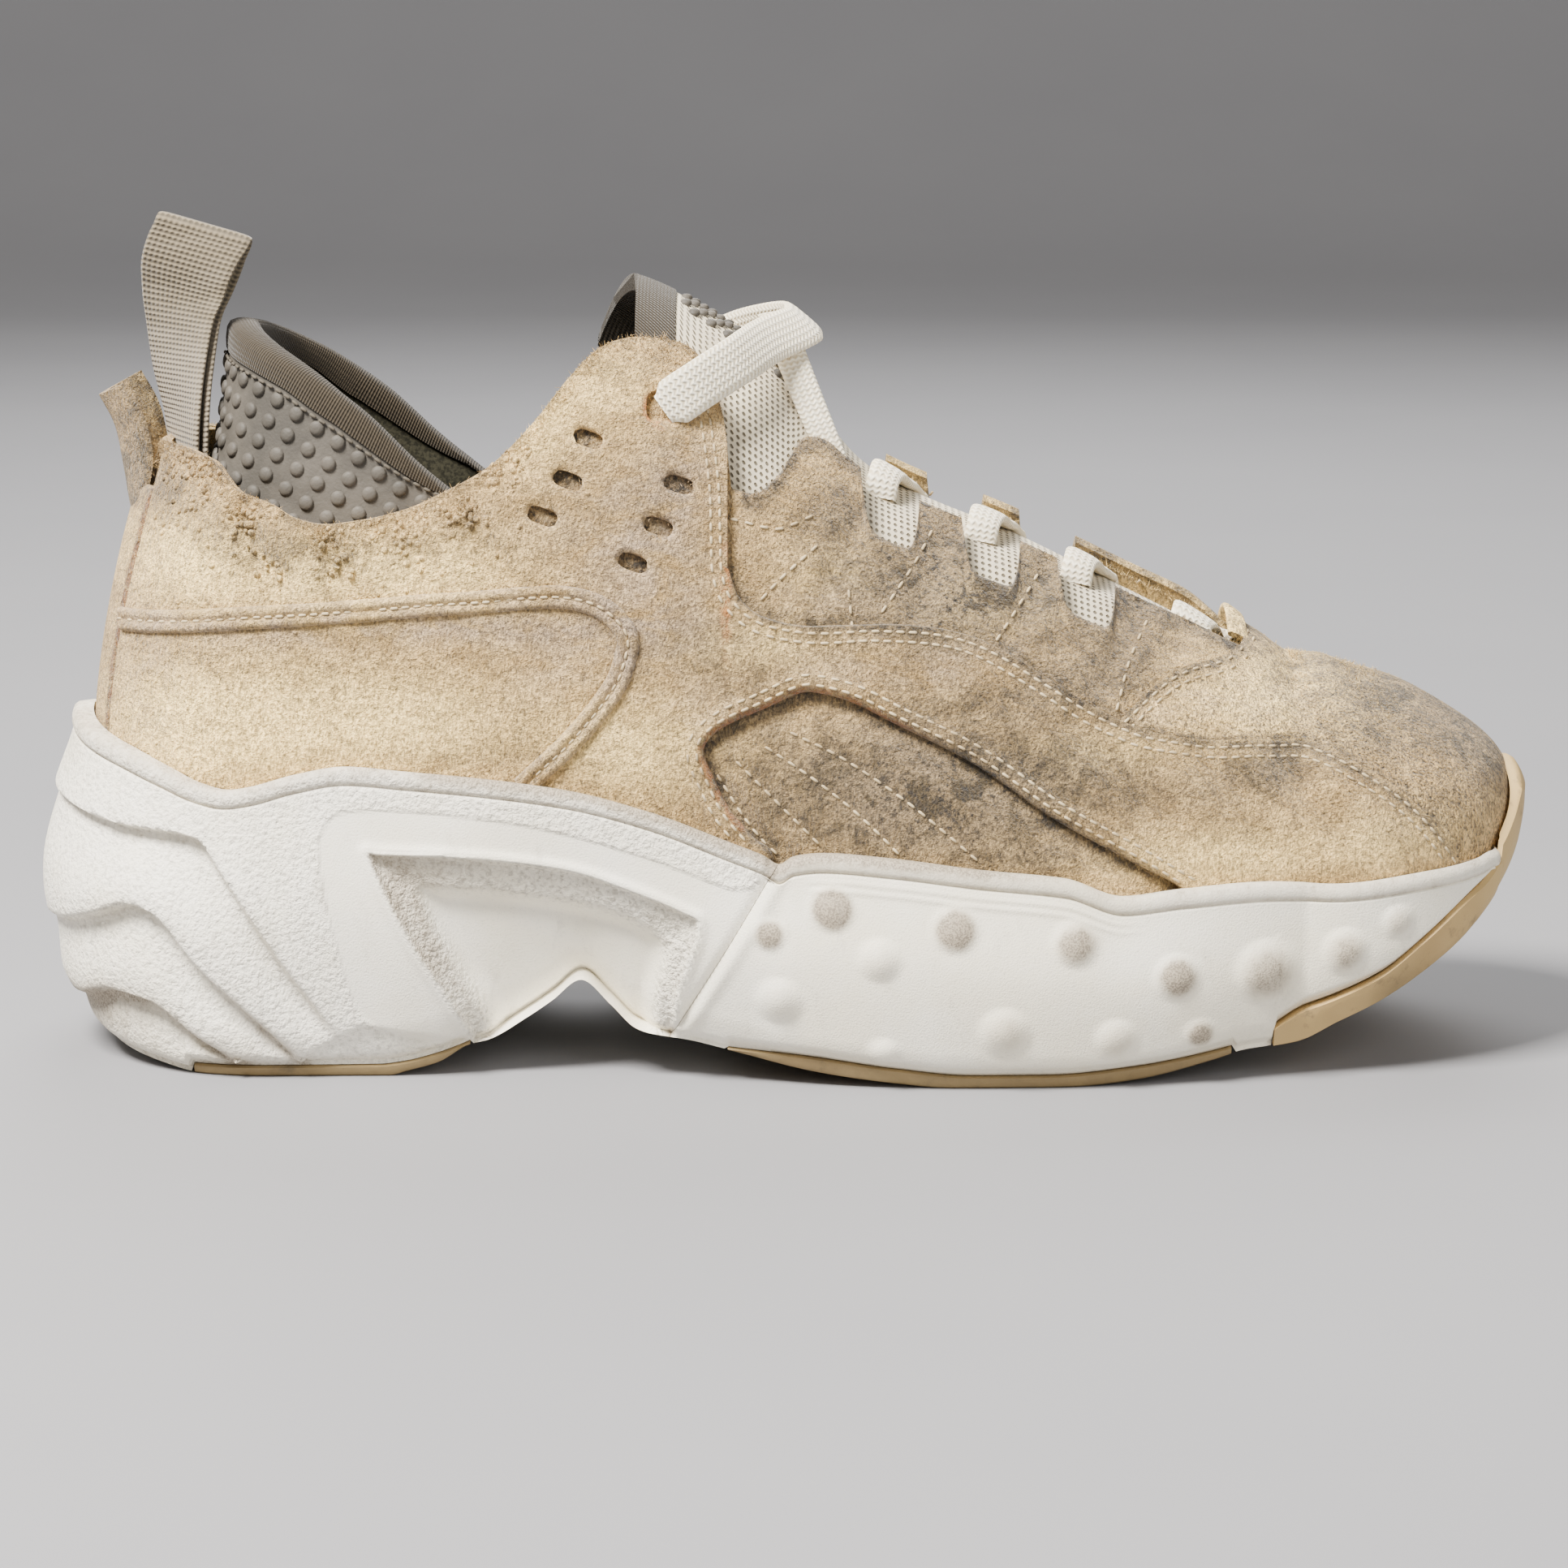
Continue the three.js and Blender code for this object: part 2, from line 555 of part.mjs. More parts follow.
// The upper and its overlays
const punchHole = ([x, z], length, height, tilt) => {
  const outline = [];
  for (let k = 0; k < PUNCHES.sides; k += 1) {
    const angle = (k / PUNCHES.sides) * 2 * Math.PI;
    const [a, b] = [(Math.cos(angle) * length) / 2, (Math.sin(angle) * height) / 2];
    outline.push([x + a * Math.cos(tilt) - b * Math.sin(tilt), z + a * Math.sin(tilt) + b * Math.cos(tilt)]);
  }
  return sidePrism(outline);
};
const topEyelets = punchHole(TOP_EYELET.centre, TOP_EYELET.radius * 2, TOP_EYELET.radius * 2, 0);
const upperSolid = toSolid(shell(-WALL, 0, upperStations)).subtract(topEyelets);

const quarterShell = toSolid(shell(LIFT, LIFT + QUARTER_THICK, panelStations));
const upperClear = toSolid(shell(-WALL, GAP / 2, upperStations));
const heelBox = box(-250, -108, -HEEL_STRIP_HALF, HEEL_STRIP_HALF, 0, 200);
const heelBoxWide = box(-250, -108, -HEEL_STRIP_HALF - GAP, HEEL_STRIP_HALF + GAP, 0, 200);
const quarterSide = (from, to, grow) => {
  const edge = QUARTER_EDGE.map(([x, z]) => [x + grow * 0.6, z + grow]);
  return sidePrism([...edge, [140, 10], [-250, 10], [-250, 160]], from, to);
};
function quarterSolid(from, to, punches) {
  let solid = quarterShell.intersect(quarterSide(from, to, 0)).subtract(heelBoxWide).subtract(upperClear);
  solid = solid.subtract(sidePrism([...WINDOW, [80, 10], [-2, 10]], from, to)).subtract(topEyelets);
  for (const centre of punches) {
    solid = solid.subtract(punchHole(centre, PUNCHES.length, PUNCHES.height, PUNCHES.tilt));
  }
  return solid;
}

const vampSide = sidePrism([...VAMP_EDGE, [200, 110], [200, 10], [137, 10], [67, 10]]);
const vampSolid = toSolid(shell(LIFT, LIFT + VAMP_THICK, panelStations))
  .intersect(vampSide)
  .subtract(quarterSide(-REACH, REACH, GAP))
  .subtract(upperClear);

const pipingFoot = LIFT + QUARTER_THICK + GAP;
const pipingShell = toSolid(shell(pipingFoot, pipingFoot + PIPING_THICK, panelStations));
const pipingBand = [...PIPING_OUTER, ...[...PIPING_INNER].reverse()];
const pipingSolid = (from, to) =>
  pipingShell.intersect(sidePrism(pipingBand, from, to)).subtract(heelBoxWide).subtract(hull.translate(0, 0, GAP));

// The back strip, with the tab that stands out from the heel above it
const TAB_HALF = 12;
const TAB = [
  [-128.5, 104], [-134.2, 110], [-137.5, 121], [-139.2, 130], [-141.2, 136.5], [-138.6, 137.2],
  [-136.8, 130.5], [-134.9, 121.5], [-132.9, 112], [-130.5, 108],
];
const heelStrip = quarterShell
  .intersect(heelBox)
  .intersect(box(-250, 0, -REACH, REACH, 0, 116))
  .add(sidePrism(TAB, -TAB_HALF, TAB_HALF))
  .subtract(upperClear);

// The leaning cuff: its foot lies inside the upper, its neck leans forward to the rim
const CUFF_FOOT = 82;
const CUFF_INSET = 0.8;
function cuffSide(share, side) {
  const along = THREE.MathUtils.lerp(-172.5, CUFF_FRONT, share);
  const section = sectionAt(rowFor(along), side);
  const rim = rowAt(CUFF, share * CUFF_ROWS);
  const collar = curveAt(COLLAR, along);
  const tAt = (z) => solve((t) => section.curve.getPoint(t).y, z, 0, 0.98);
  const inside = (z, inset) => wallPoint(section, tAt(z), -WALL - CUFF_INSET - inset);
  const top = new THREE.Vector3(rim.x, side * rim.y, rim.rim);
  const neck = inside(Math.min(collar, rim.rim) - 6, rim.neckIn);
  return { inside, top, neck, section, collar: Math.min(collar, rim.rim) };
}

function cuffLoop(share, side, thick, topFrom, topTo) {
  const { inside, top, neck, section, collar } = cuffSide(share, side);
  const inward = new THREE.Vector3(-section.direction.x, -section.direction.y, 0);
  const towards = (share2) => neck.clone().lerp(top, share2);
  const outer = [];
  if (topFrom === 0) outer.push(inside(CUFF_FOOT, 0), inside((CUFF_FOOT + collar) / 2, 0), inside(collar - 14, 0));
  outer.push(towards(topFrom), towards((topFrom + topTo) / 2), towards(topTo));
  const inner = outer.map((point) => point.clone().addScaledVector(inward, thick));
  return [...outer, ...inner.reverse()];
}

const CUFF_SHARES = [1, 0.86, 0.72, 0.58, 0.44, 0.3, 0.15, 0];
const roundHeel = (make) => [
  ...CUFF_SHARES.map((share) => make(share, LATERAL)),
  ...CUFF_SHARES.slice(0, -1).reverse().map((share) => make(share, MEDIAL)),
];
const BINDING_FROM = 0.87;
const cuffSolid = sweepSolid(roundHeel((share, side) => cuffLoop(share, side, CUFF_THICK, 0, BINDING_FROM - 0.02)));
const bindingSolid = sweepSolid(roundHeel((share, side) => cuffLoop(share, side, CUFF_THICK, BINDING_FROM, 1)));

// The tongue follows the ridge of the foot inside the throat
const TONGUE_TOP = -30;
const TONGUE_FRONT = 90;
const TONGUE_BINDING = 8;
const TONGUE_INSET = 1.3;
function tongueLoop(x, half, thick, lift) {
  const row = rowFor(x);
  const outer = [];
  const inner = [];
  for (const side of [LATERAL, MEDIAL]) {
    const section = sectionAt(row, side);
    const start = solve((t) => section.curve.getPoint(t).x, half, 0.4, 1);
    const ts = [0, 0.25, 0.5, 0.75, 1].map((share) => THREE.MathUtils.lerp(start, 1, share));
    const out = ts.map((t) => wallPoint(section, t, -WALL - TONGUE_INSET + lift));
    const low = ts.map((t) => wallPoint(section, t, -WALL - TONGUE_INSET - thick));
    if (side === MEDIAL) {
      out.reverse().shift();
      low.reverse().shift();
    }
    outer.push(...out);
    inner.push(...low);
  }
  return [...outer, ...inner.reverse()];
}
const TONGUE_HALF = [[-30, 25], [-10, 29], [10, 29], [60, 26], [90, 20]];
const tongueAt = (x, lift) => tongueLoop(x, curveAt(TONGUE_HALF, x), TONGUE_THICK, lift);
const tongueXs = [-21.6, -15, -8, -1, 6, 14, 28, 45, 65, TONGUE_FRONT];
const tongueSolid = sweepSolid(tongueXs.map((x) => tongueAt(x, 0)));
const tongueBinding = sweepSolid([0, 0.5, 1].map((s) => tongueAt(TONGUE_TOP + s * TONGUE_BINDING, 0.3 * (1 - s))));

// The pull loop: webbing folded over at its top, both layers side by side
function pullLoop() {
  const loops = [];
  const layer = WEB_THICK / 2 + 0.3;
  const steps = 12;
  for (let i = 0; i <= steps; i += 1) {
    const row = (i / steps) * LOOP_ROWS;
    const values = rowAt(LOOP, row);
    const turn = THREE.MathUtils.degToRad(values.turn);
    const width = new THREE.Vector3(Math.cos(turn), -Math.sin(turn), 0).multiplyScalar(WEB_WIDTH / 2);
    width.z = values.lean / 2;
    const face = new THREE.Vector3(-Math.sin(turn), -Math.cos(turn), 0).multiplyScalar(layer + WEB_THICK / 2);
    const centre = new THREE.Vector3(values.x, 0, values.z);
    const corner = (a, b) => centre.clone().addScaledVector(width, a).addScaledVector(face, b);
    loops.push([corner(-1, -1), corner(1, -1), corner(1, 1), corner(-1, 1)]);
  }
  return sweepSolid(loops);
}

// The lace bars lie across the throat above the tongue, between the notches
function laceBar(x, half, lift) {
  const row = rowFor(x);
  const loops = [];
  const spine = sectionAt(row, LATERAL);
  const slope = (curveAt(LAST.ridge, rowFor(x + 4)) - curveAt(LAST.ridge, rowFor(x - 4))) / 8;
  const forward = new THREE.Vector3(1, 0, slope).normalize();
  const normal = new THREE.Vector3(-slope, 0, 1).normalize();
  for (const share of [-1, -0.6, -0.2, 0.2, 0.6, 1]) {
    const side = share < 0 ? LATERAL : MEDIAL;
    const section = sectionAt(row, side);
    const t = solve((s) => section.curve.getPoint(s).x, Math.abs(share) * half, 0.4, 1);
    const point = section.curve.getPoint(t);
    const centre = place(spine, 0, point.y).setY(spine.origin.y + share * half);
    centre.addScaledVector(normal, lift);
    const corner = (a, b) =>
      centre.clone().addScaledVector(forward, (a * LACE_GATHERED) / 2).addScaledVector(normal, (b * LACE_THICK) / 2);
    loops.push([corner(-1, -1), corner(1, -1), corner(1, 1), corner(-1, 1)]);
  }
  return sweepSolid(loops);
}

// The top bar comes out of the lateral eyelet and crosses in the open to the medial one
const TOP_BAR = named(
  ["x", "y", "z", "tilt"],
  [
    [-21, -32.4, 136, 80],
    [-17, -31, 139.5, 72],
    [-10, -25, 144, 62],
    [-3, -14, 147, 50],
    [4, -2, 149, 40],
    [4, 8, 149, 40],
    [-3, 18, 147, 50],
    [-12, 27, 143, 66],
    [-21, 30.7, 136, 80],
  ],
);
function topBar() {
  const loops = [];
  for (let i = 0; i <= 16; i += 1) {
    const values = rowAt(TOP_BAR, i / 2);
    const tilt = THREE.MathUtils.degToRad(values.tilt);
    const centre = new THREE.Vector3(values.x, values.y, values.z);
    const across = new THREE.Vector3(Math.cos(tilt), 0, -Math.sin(tilt));
    const normal = new THREE.Vector3(Math.sin(tilt), 0, Math.cos(tilt));
    const wide = i === 0 || i === 16 ? 3.6 : LACE_WIDTH;
    const corner = (a, b) =>
      centre.clone().addScaledVector(across, (a * wide) / 2).addScaledVector(normal, (b * LACE_THICK) / 2);
    loops.push([corner(-1, -1), corner(1, -1), corner(1, 1), corner(-1, 1)]);
  }
  return sweepSolid(loops);
}

// The shoe
const suede = { color: 0xcfc0a4, roughness: 0.95 };
const foamLook = { color: 0xeceae4, roughness: 0.6 };
const gum = { color: 0xb89a63, roughness: 0.55 };
const greyRubber = { color: 0x8d8c88, roughness: 0.7 };
const ribbedTape = { color: 0x807b72, roughness: 0.85 };
const whiteCloth = { color: 0xe9e6dd, roughness: 0.9 };
const pieces = {
  outsole_heel: [toGeometry(outsoleHeel), gum],
  outsole_forefoot: [toGeometry(outsoleForefoot), gum],
  outsole_toe_wrap: [toGeometry(toeWrap), gum],
  midsole_heel: [toGeometry(midsoleHeel), foamLook],
  midsole_forefoot: [toGeometry(midsoleForefoot), foamLook],
  insole: [insoleSolid(), whiteCloth],
  upper: [toGeometry(upperSolid), suede],
  quarter_lateral: [toGeometry(quarterSolid(-REACH, 0, PUNCHES.centres)), suede],
  quarter_medial: [toGeometry(quarterSolid(0, REACH, PUNCHES.centres.slice(1))), suede],
  piping_lateral: [toGeometry(pipingSolid(-REACH, 0)), suede],
  piping_medial: [toGeometry(pipingSolid(0, REACH)), suede],
  vamp_panel: [toGeometry(vampSolid), suede],
  heel_strip: [toGeometry(heelStrip), suede],
  collar_cuff: [cuffSolid, greyRubber],
  cuff_binding: [bindingSolid, ribbedTape],
  tongue: [tongueSolid, whiteCloth],
  tongue_binding: [tongueBinding, ribbedTape],
  pull_loop: [pullLoop(), whiteCloth],
  lace_bar_top: [topBar(), whiteCloth],
  lace_bar_1: [laceBar(21.5, 21, -0.9), whiteCloth],
  lace_bar_2: [laceBar(42, 21, -0.9), whiteCloth],
  lace_bar_3: [laceBar(61.5, 21, -0.9), whiteCloth],
  lace_bar_4: [laceBar(84, 12, -1.9), whiteCloth],
};

const shoe = new THREE.Group();
for (const [name, [geometry, look]] of Object.entries(pieces)) {
  const mesh = new THREE.Mesh(geometry, new THREE.MeshStandardMaterial({ metalness: 0, ...look }));
  mesh.name = name;
  shoe.add(mesh);
}

export default shoe;
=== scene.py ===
import math

import bmesh
import bpy
import numpy as np
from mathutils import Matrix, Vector


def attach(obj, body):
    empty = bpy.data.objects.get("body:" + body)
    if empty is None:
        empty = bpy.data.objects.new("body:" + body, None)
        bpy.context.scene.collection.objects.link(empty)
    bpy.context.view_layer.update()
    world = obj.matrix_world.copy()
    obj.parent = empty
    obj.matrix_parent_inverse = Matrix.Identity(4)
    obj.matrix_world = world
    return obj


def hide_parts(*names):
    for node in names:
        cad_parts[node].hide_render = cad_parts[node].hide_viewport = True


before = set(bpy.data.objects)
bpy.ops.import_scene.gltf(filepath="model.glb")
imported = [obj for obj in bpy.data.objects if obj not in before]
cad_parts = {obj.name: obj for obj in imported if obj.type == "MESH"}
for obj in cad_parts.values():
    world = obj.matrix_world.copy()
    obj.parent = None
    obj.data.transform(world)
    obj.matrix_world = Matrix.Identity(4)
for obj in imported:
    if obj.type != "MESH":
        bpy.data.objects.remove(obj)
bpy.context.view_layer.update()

# Camera, floor and light
# The camera looks at the lateral side from about a metre, eleven degrees above level. A plain
# grey paper sweep carries the shoe, and three large soft lamps stand round it.
MM = 0.001
VIEW_UP = math.radians(11)
VIEW_DISTANCE = 1.0
VIEW_TARGET = Vector((0, 0, 0.0528))
VIEW_LENS = 110
camera_data = bpy.data.cameras.new("camera")
camera_data.lens = VIEW_LENS
camera_data.sensor_width = 36
camera = bpy.data.objects.new("camera", camera_data)
bpy.context.collection.objects.link(camera)
camera.location = VIEW_TARGET + VIEW_DISTANCE * Vector((0, -math.cos(VIEW_UP), math.sin(VIEW_UP)))
camera.rotation_euler = (math.pi / 2 - VIEW_UP, 0, 0)
bpy.context.scene.camera = camera

# Lamps: name, place, size, power, tint
LAMPS = (
    ("key", (-0.55, -0.5, 1.1), 0.45, 74.0, (1.0, 0.96, 0.9)),
    ("fill", (0.85, -0.95, 0.7), 1.0, 10.0, (1.0, 0.985, 0.96)),
    ("back", (0.05, 0.95, 0.9), 0.9, 20.0, (1.0, 0.99, 0.97)),
)
for lamp_name, place, size, power, tint in LAMPS:
    lamp_data = bpy.data.lights.new(lamp_name, "AREA")
    lamp_data.size = size
    lamp_data.energy = power
    lamp_data.color = tint
    lamp = bpy.data.objects.new(lamp_name, lamp_data)
    bpy.context.collection.objects.link(lamp)
    lamp.location = place
    lamp.rotation_euler = (VIEW_TARGET - lamp.location).to_track_quat("-Z", "Y").to_euler()

world = bpy.data.worlds.new("studio")
bpy.context.scene.world = world
world.use_nodes = True
world.node_tree.nodes["Background"].inputs["Color"].default_value = (0.83, 0.82, 0.80, 1)
world.node_tree.nodes["Background"].inputs["Strength"].default_value = 0.34


class Wire:
    """An output of a material's nodes. Arithmetic on it adds Math nodes."""

    def __init__(self, tree, socket=None):
        self.tree = tree
        self.socket = socket

    def node(self, kind, settings=None, inputs=None, output=0):
        made = self.tree.nodes.new(kind)
        for name, value in (settings or {}).items():
            setattr(made, name, value)
        for name, value in (inputs or {}).items():
            self.feed(made.inputs[name], value)
        return Wire(self.tree, made.outputs[output])

    def feed(self, target, value):
        if isinstance(value, Wire):
            self.tree.links.new(value.socket, target)
        else:
            target.default_value = value

    def maths(self, operation, first, second=0.0):
        return self.node("ShaderNodeMath", {"operation": operation}, {0: first, 1: second})

    def __add__(self, other):
        return self.maths("ADD", self, other)

    def __radd__(self, other):
        return self.maths("ADD", other, self)

    def __sub__(self, other):
        return self.maths("SUBTRACT", self, other)

    def __rsub__(self, other):
        return self.maths("SUBTRACT", other, self)

    def __mul__(self, other):
        return self.maths("MULTIPLY", self, other)

    def __rmul__(self, other):
        return self.maths("MULTIPLY", other, self)

    def ramp(self, low, high, start=0.0, end=1.0):
        inputs = {"Value": self, "From Min": low, "From Max": high, "To Min": start, "To Max": end}
        return self.node("ShaderNodeMapRange", {"interpolation_type": "SMOOTHSTEP"}, inputs)

    def mix(self, first, second):
        """A colour between two others, by this value."""
        return self.node("ShaderNodeMix", {"data_type": "RGBA"}, {0: self, 6: first, 7: second}, 2)

    def noise(self, scale, detail=3.0, rough=0.55, stretch=(1, 1, 1), warp=0.0):
        where = self.node("ShaderNodeTexCoord", output="Object")
        scaled = self.node("ShaderNodeMapping", inputs={"Vector": where, "Scale": stretch})
        inputs = {"Vector": scaled, "Scale": scale, "Detail": detail, "Roughness": rough, "Distortion": warp}
        return self.node("ShaderNodeTexNoise", inputs=inputs)

    def mask(self, name):
        return self.node("ShaderNodeAttribute", {"attribute_name": name}, output="Fac")

    def bump(self, height, distance, strength=1.0):
        inputs = {"Height": height, "Distance": distance, "Strength": strength}
        return self.node("ShaderNodeBump", inputs=inputs)


def new_material(name, **constants):
    """A material with some constant inputs, a wire to build its nodes with and its shader."""
    material = bpy.data.materials.new(name)
    material.use_nodes = True
    shader = material.node_tree.nodes["Principled BSDF"]
    for socket, value in constants.items():
        shader.inputs[socket.replace("_", " ")].default_value = value
    return material, Wire(material.node_tree), shader


def dress(wire, shader, colour, roughness, height, depth, strength):
    """Feeds a shader its colour, its roughness and a bump of some depth."""
    wire.feed(shader.inputs["Base Color"], colour)
    wire.feed(shader.inputs["Roughness"], roughness)
    wire.feed(shader.inputs["Normal"], wire.bump(height, depth, strength))


def rgb(red, green, blue):
    """A display colour, 0 to 255, as linear light."""
    return tuple((channel / 255) ** 2.2 for channel in (red, green, blue)) + (1.0,)


paper, wire, shader = new_material("paper_sweep", Roughness=0.8)
cloud = wire.noise(6.0, 3.0)
wire.feed(shader.inputs["Base Color"], cloud.mix(rgb(128, 128, 132), rgb(135, 135, 138)))
FLOOR_HALF = 3.0
floor_mesh = bpy.data.meshes.new("floor")
SWEEP_START, SWEEP_BEND, SWEEP_TOP = 1.6, 0.8, 2.4
sweep = [(-FLOOR_HALF, 0.0), (SWEEP_START, 0.0)]
for turn in np.linspace(0, math.pi / 2, 13)[1:]:
    sweep.append((SWEEP_START + SWEEP_BEND * math.sin(turn), SWEEP_BEND * (1 - math.cos(turn))))
sweep.append((SWEEP_START + SWEEP_BEND, SWEEP_TOP))
floor_points = [(x, y, z) for y, z in sweep for x in (-FLOOR_HALF, FLOOR_HALF)]
floor_faces = [(2 * k, 2 * k + 1, 2 * k + 3, 2 * k + 2) for k in range(len(sweep) - 1)]
floor_mesh.from_pydata(floor_points, [], floor_faces)
floor_mesh.shade_smooth()
floor_mesh.materials.append(paper)
floor = bpy.data.objects.new("floor", floor_mesh)
bpy.context.collection.objects.link(floor)

# Foam sole
# The midsole is two blocks of white foam with a slanted groove between them. The heel block steps
# down in shingled tiers and is scooped out at the arch; small blisters stand on the forefoot block.
ROLL = 0.75
LATERAL, MEDIAL = -1, 1
# Lengths along the edge: at the tips of toe and heel, and where the fans of sections begin
TIP, FAN = 172.5, 105
# Sections of the last from the toe tip to the heel, in millimetres and degrees
LAST_COLUMNS = "x turn middle floor wall_z ridge drop lateral medial flare crown".split()
LAST_ROWS = (
    (105, 0, 5, 38, 52, 78.5, 3.5, 41.5, 41.5, 12, 34),
    (105, 30, 5, 35, 51, 78.5, 3, 41.5, 43, 11, 33),
    (105, 60, 5, 32, 49, 78.5, 2, 40, 42, 9.5, 31),
    (105, 90, 5, 30, 48, 78.5, 0, 39, 40.5, 8, 30),
    (80, 90, 3, 27, 48, 95, 0, 43.5, 42, 6, 32),
    (50, 90, 1, 26, 52, 111, 0, 45.5, 43, 5, 34),
    (20, 90, 0, 28, 58, 124.5, 0, 43, 40, 5, 36),
    (-8, 90, 0, 31, 66, 150, 0, 40, 37, 6, 36),
    (-30, 90, 0, 34, 75, 162, 0, 38, 35.5, 7, 40),
    (-55, 90, 0, 37, 76, 167, 0, 35.5, 34.5, 6.5, 40),
    (-80, 90, 0, 39, 76, 168, 0, 34, 33.5, 5, 37),
    (-105, 90, 0, 40, 77, 166, 6, 33.5, 33.5, 5.5, 28),
    (-105, 120, 0, 40, 78, 166, 10, 33.5, 33.5, 6.5, 24),
    (-105, 150, 0, 40, 79.5, 166, 13, 34.5, 34.5, 7, 20),
    (-105, 180, 0, 40, 80, 166, 14, 35.5, 35.5, 7, 18),
)
# Half widths of the sole at the same sections, and how much less the inner side has
SOLE_COLUMNS = "base belly wide lip less".split()
SOLE_ROWS = (
    (48, 49.5, 50, 50, 0),
    (46, 47.5, 48.5, 48.7, -1.5),
    (44, 46, 47.3, 47.3, -2),
    (43.5, 45.5, 46.8, 46.2, -1.5),
    (47.5, 51, 52.5, 50.5, 1.5),
    (50, 53.5, 55, 51.5, 2.5),
    (49, 52.5, 54, 50.5, 3),
    (45, 48, 50, 48, 3),
    (41, 44.5, 46.5, 46.2, 2.5),
    (38.5, 42, 44.5, 44, 1),
    (39, 43, 44.8, 41.7, 0.5),
    (39.5, 43.5, 45, 41.3, 0),
    (39.5, 44, 46.5, 41.5, 0),
    (39, 45.5, 48.5, 42, 0),
    (38.5, 46.5, 49.8, 42.5, 0),
)
# Heights along the edge: the foam's rim and the three tiers of the heel
RIM = (
    (-172.5, 70.5), (-140, 66), (-128, 63), (-119, 60.2), (-113, 59.2), (-107, 60), (-98, 62.5),
    (-88, 64.2), (-76, 63.3), (-59, 62), (-43, 60), (-27, 56), (-11, 50), (-4, 47.3), (-1, 45.6),
    (2, 47.3), (8, 48), (22, 47), (38, 45), (56, 43), (68, 39.2), (80, 40.3), (95, 41), (111, 40.3),
    (128, 41.5), (143, 42.5), (149, 44), (155, 48.5), (161, 54), (167, 57.5), (172.5, 58.5),
)
TIERS = (
    (
        (-172.5, 55), (-150, 53), (-135, 51.5), (-124, 51), (-118, 50), (-113, 44), (-100, 24), (-90, 10),
        (-84, 0),
    ),
    ((-172.5, 28), (-154, 29.5), (-140, 33), (-131, 36), (-126, 34.5), (-117, 24), (-101, 8), (-94, 0)),
    ((-172.5, 12), (-150, 14), (-138, 17), (-129, 16), (-117, 8), (-109, 3), (-105, 0)),
)
# Heights in the side view: the bottom edge of the sole and the top of the gum sheets
GROUND = (
    (-156, 16), (-150, 10), (-145, 6.3), (-137, 3), (-127, 1.2), (-118, 0), (-80, 0), (-77, 0.8), (-70, 2.8),
    (-64, 6.3), (-60, 7.3), (-52, 12), (-47, 15.5), (-41, 20), (-35, 15), (-30, 10.3), (-27, 9.3), (-19, 8.3),
    (-12, 6.9), (6, 3), (22, 1), (34, 0), (58, 0), (71, 1), (87, 4.4), (93, 6), (98, 6.5), (104, 7.2),
    (112, 11), (121, 15), (130, 20), (139, 26), (146, 33), (151, 39), (154, 46), (155, 50),
)
TREAD_TOP = (
    (-124, 2.1), (-110, 2.2), (-82, 2.4), (-77, 3), (-70, 4.8), (-62, 8), (-50, 14), (-41, 21), (-30, 11),
    (-19, 8.3), (-11, 7.4), (6, 6), (22, 4), (38, 2.6), (54, 2.6), (71, 3.8), (87, 6.3), (95, 8.5),
    (99, 11), (104, 14), (112, 17), (121, 21), (129, 27), (138, 34), (144, 38), (147, 41),
)
TREADS = ((-120.4, -63), (-12, 91), (98.7, 200))
ARCH_OUTLINE = (
    (-83, 46), (-80, 47), (-59, 46), (-43, 44), (-33, 41), (-20, 36), (-17, 33), (-21, 20), (-27, 0),
    (-59, 0), (-64, 10), (-69, 19), (-76, 31),
)
SCOOP_OUTLINE = (
    (-74, 39), (-66, 40), (-53, 39), (-40, 37), (-30, 34), (-24, 30), (-23, 26), (-25, 18), (-29, 0),
    (-56, 0), (-61, 13), (-67, 23),
)
ARCH_RECESS, ARCH_SCOOP = 2.5, 6.5
JOINT_TOP, JOINT_FOOT = (-0.5, 47), (-23, 9)
LIP = 4
# How far the foam's hollow stands off the foot form
HOLLOW = 2.35
FOAM_RIM = 43.2
FOAM_NOSE = 146.8


def between(first, second):
    """The slope where two stretches of a curve meet, level if they turn back."""
    total = np.where(np.abs(first + second) < 1e-9, 1.0, first + second)
    return np.where(first * second > 0, 2 * first * second / total, 0.0)


def bridge(share, span, low, high, low_slope, high_slope):
    """A value between two others, on a curve with given slopes at both."""
    ends = low * (1 + 2 * share) * (1 - share) ** 2 + high * share * share * (3 - 2 * share)
    return ends + span * share * (1 - share) * (low_slope * (1 - share) - high_slope * share)


def smooth(points, at):
    """A smooth curve through (position, value) points, with no overshoot."""
    xs, ys = np.asarray(points, float).T
    rise = np.diff(ys) / np.diff(xs)
    slope = np.concatenate([rise[:1], between(rise[:-1], rise[1:]), rise[-1:]])
    at = np.clip(at, xs[0], xs[-1])
    k = np.clip(np.searchsorted(xs, at, side="right") - 1, 0, len(xs) - 2)
    span = xs[k + 1] - xs[k]
    return bridge((at - xs[k]) / span, span, ys[k], ys[k + 1], slope[k], slope[k + 1])


def column(columns, rows, name, row):
    """A named column of a table at a row, also between rows."""
    place = columns.index(name)
    return smooth([(k, values[place]) for k, values in enumerate(rows)], row)


ROW_STEPS = np.linspace(0, len(LAST_ROWS) - 1, 2801)
ALONG_STEPS = column(LAST_COLUMNS, LAST_ROWS, "x", ROW_STEPS)
ALONG_STEPS = ALONG_STEPS + (90 - column(LAST_COLUMNS, LAST_ROWS, "turn", ROW_STEPS)) * ROLL


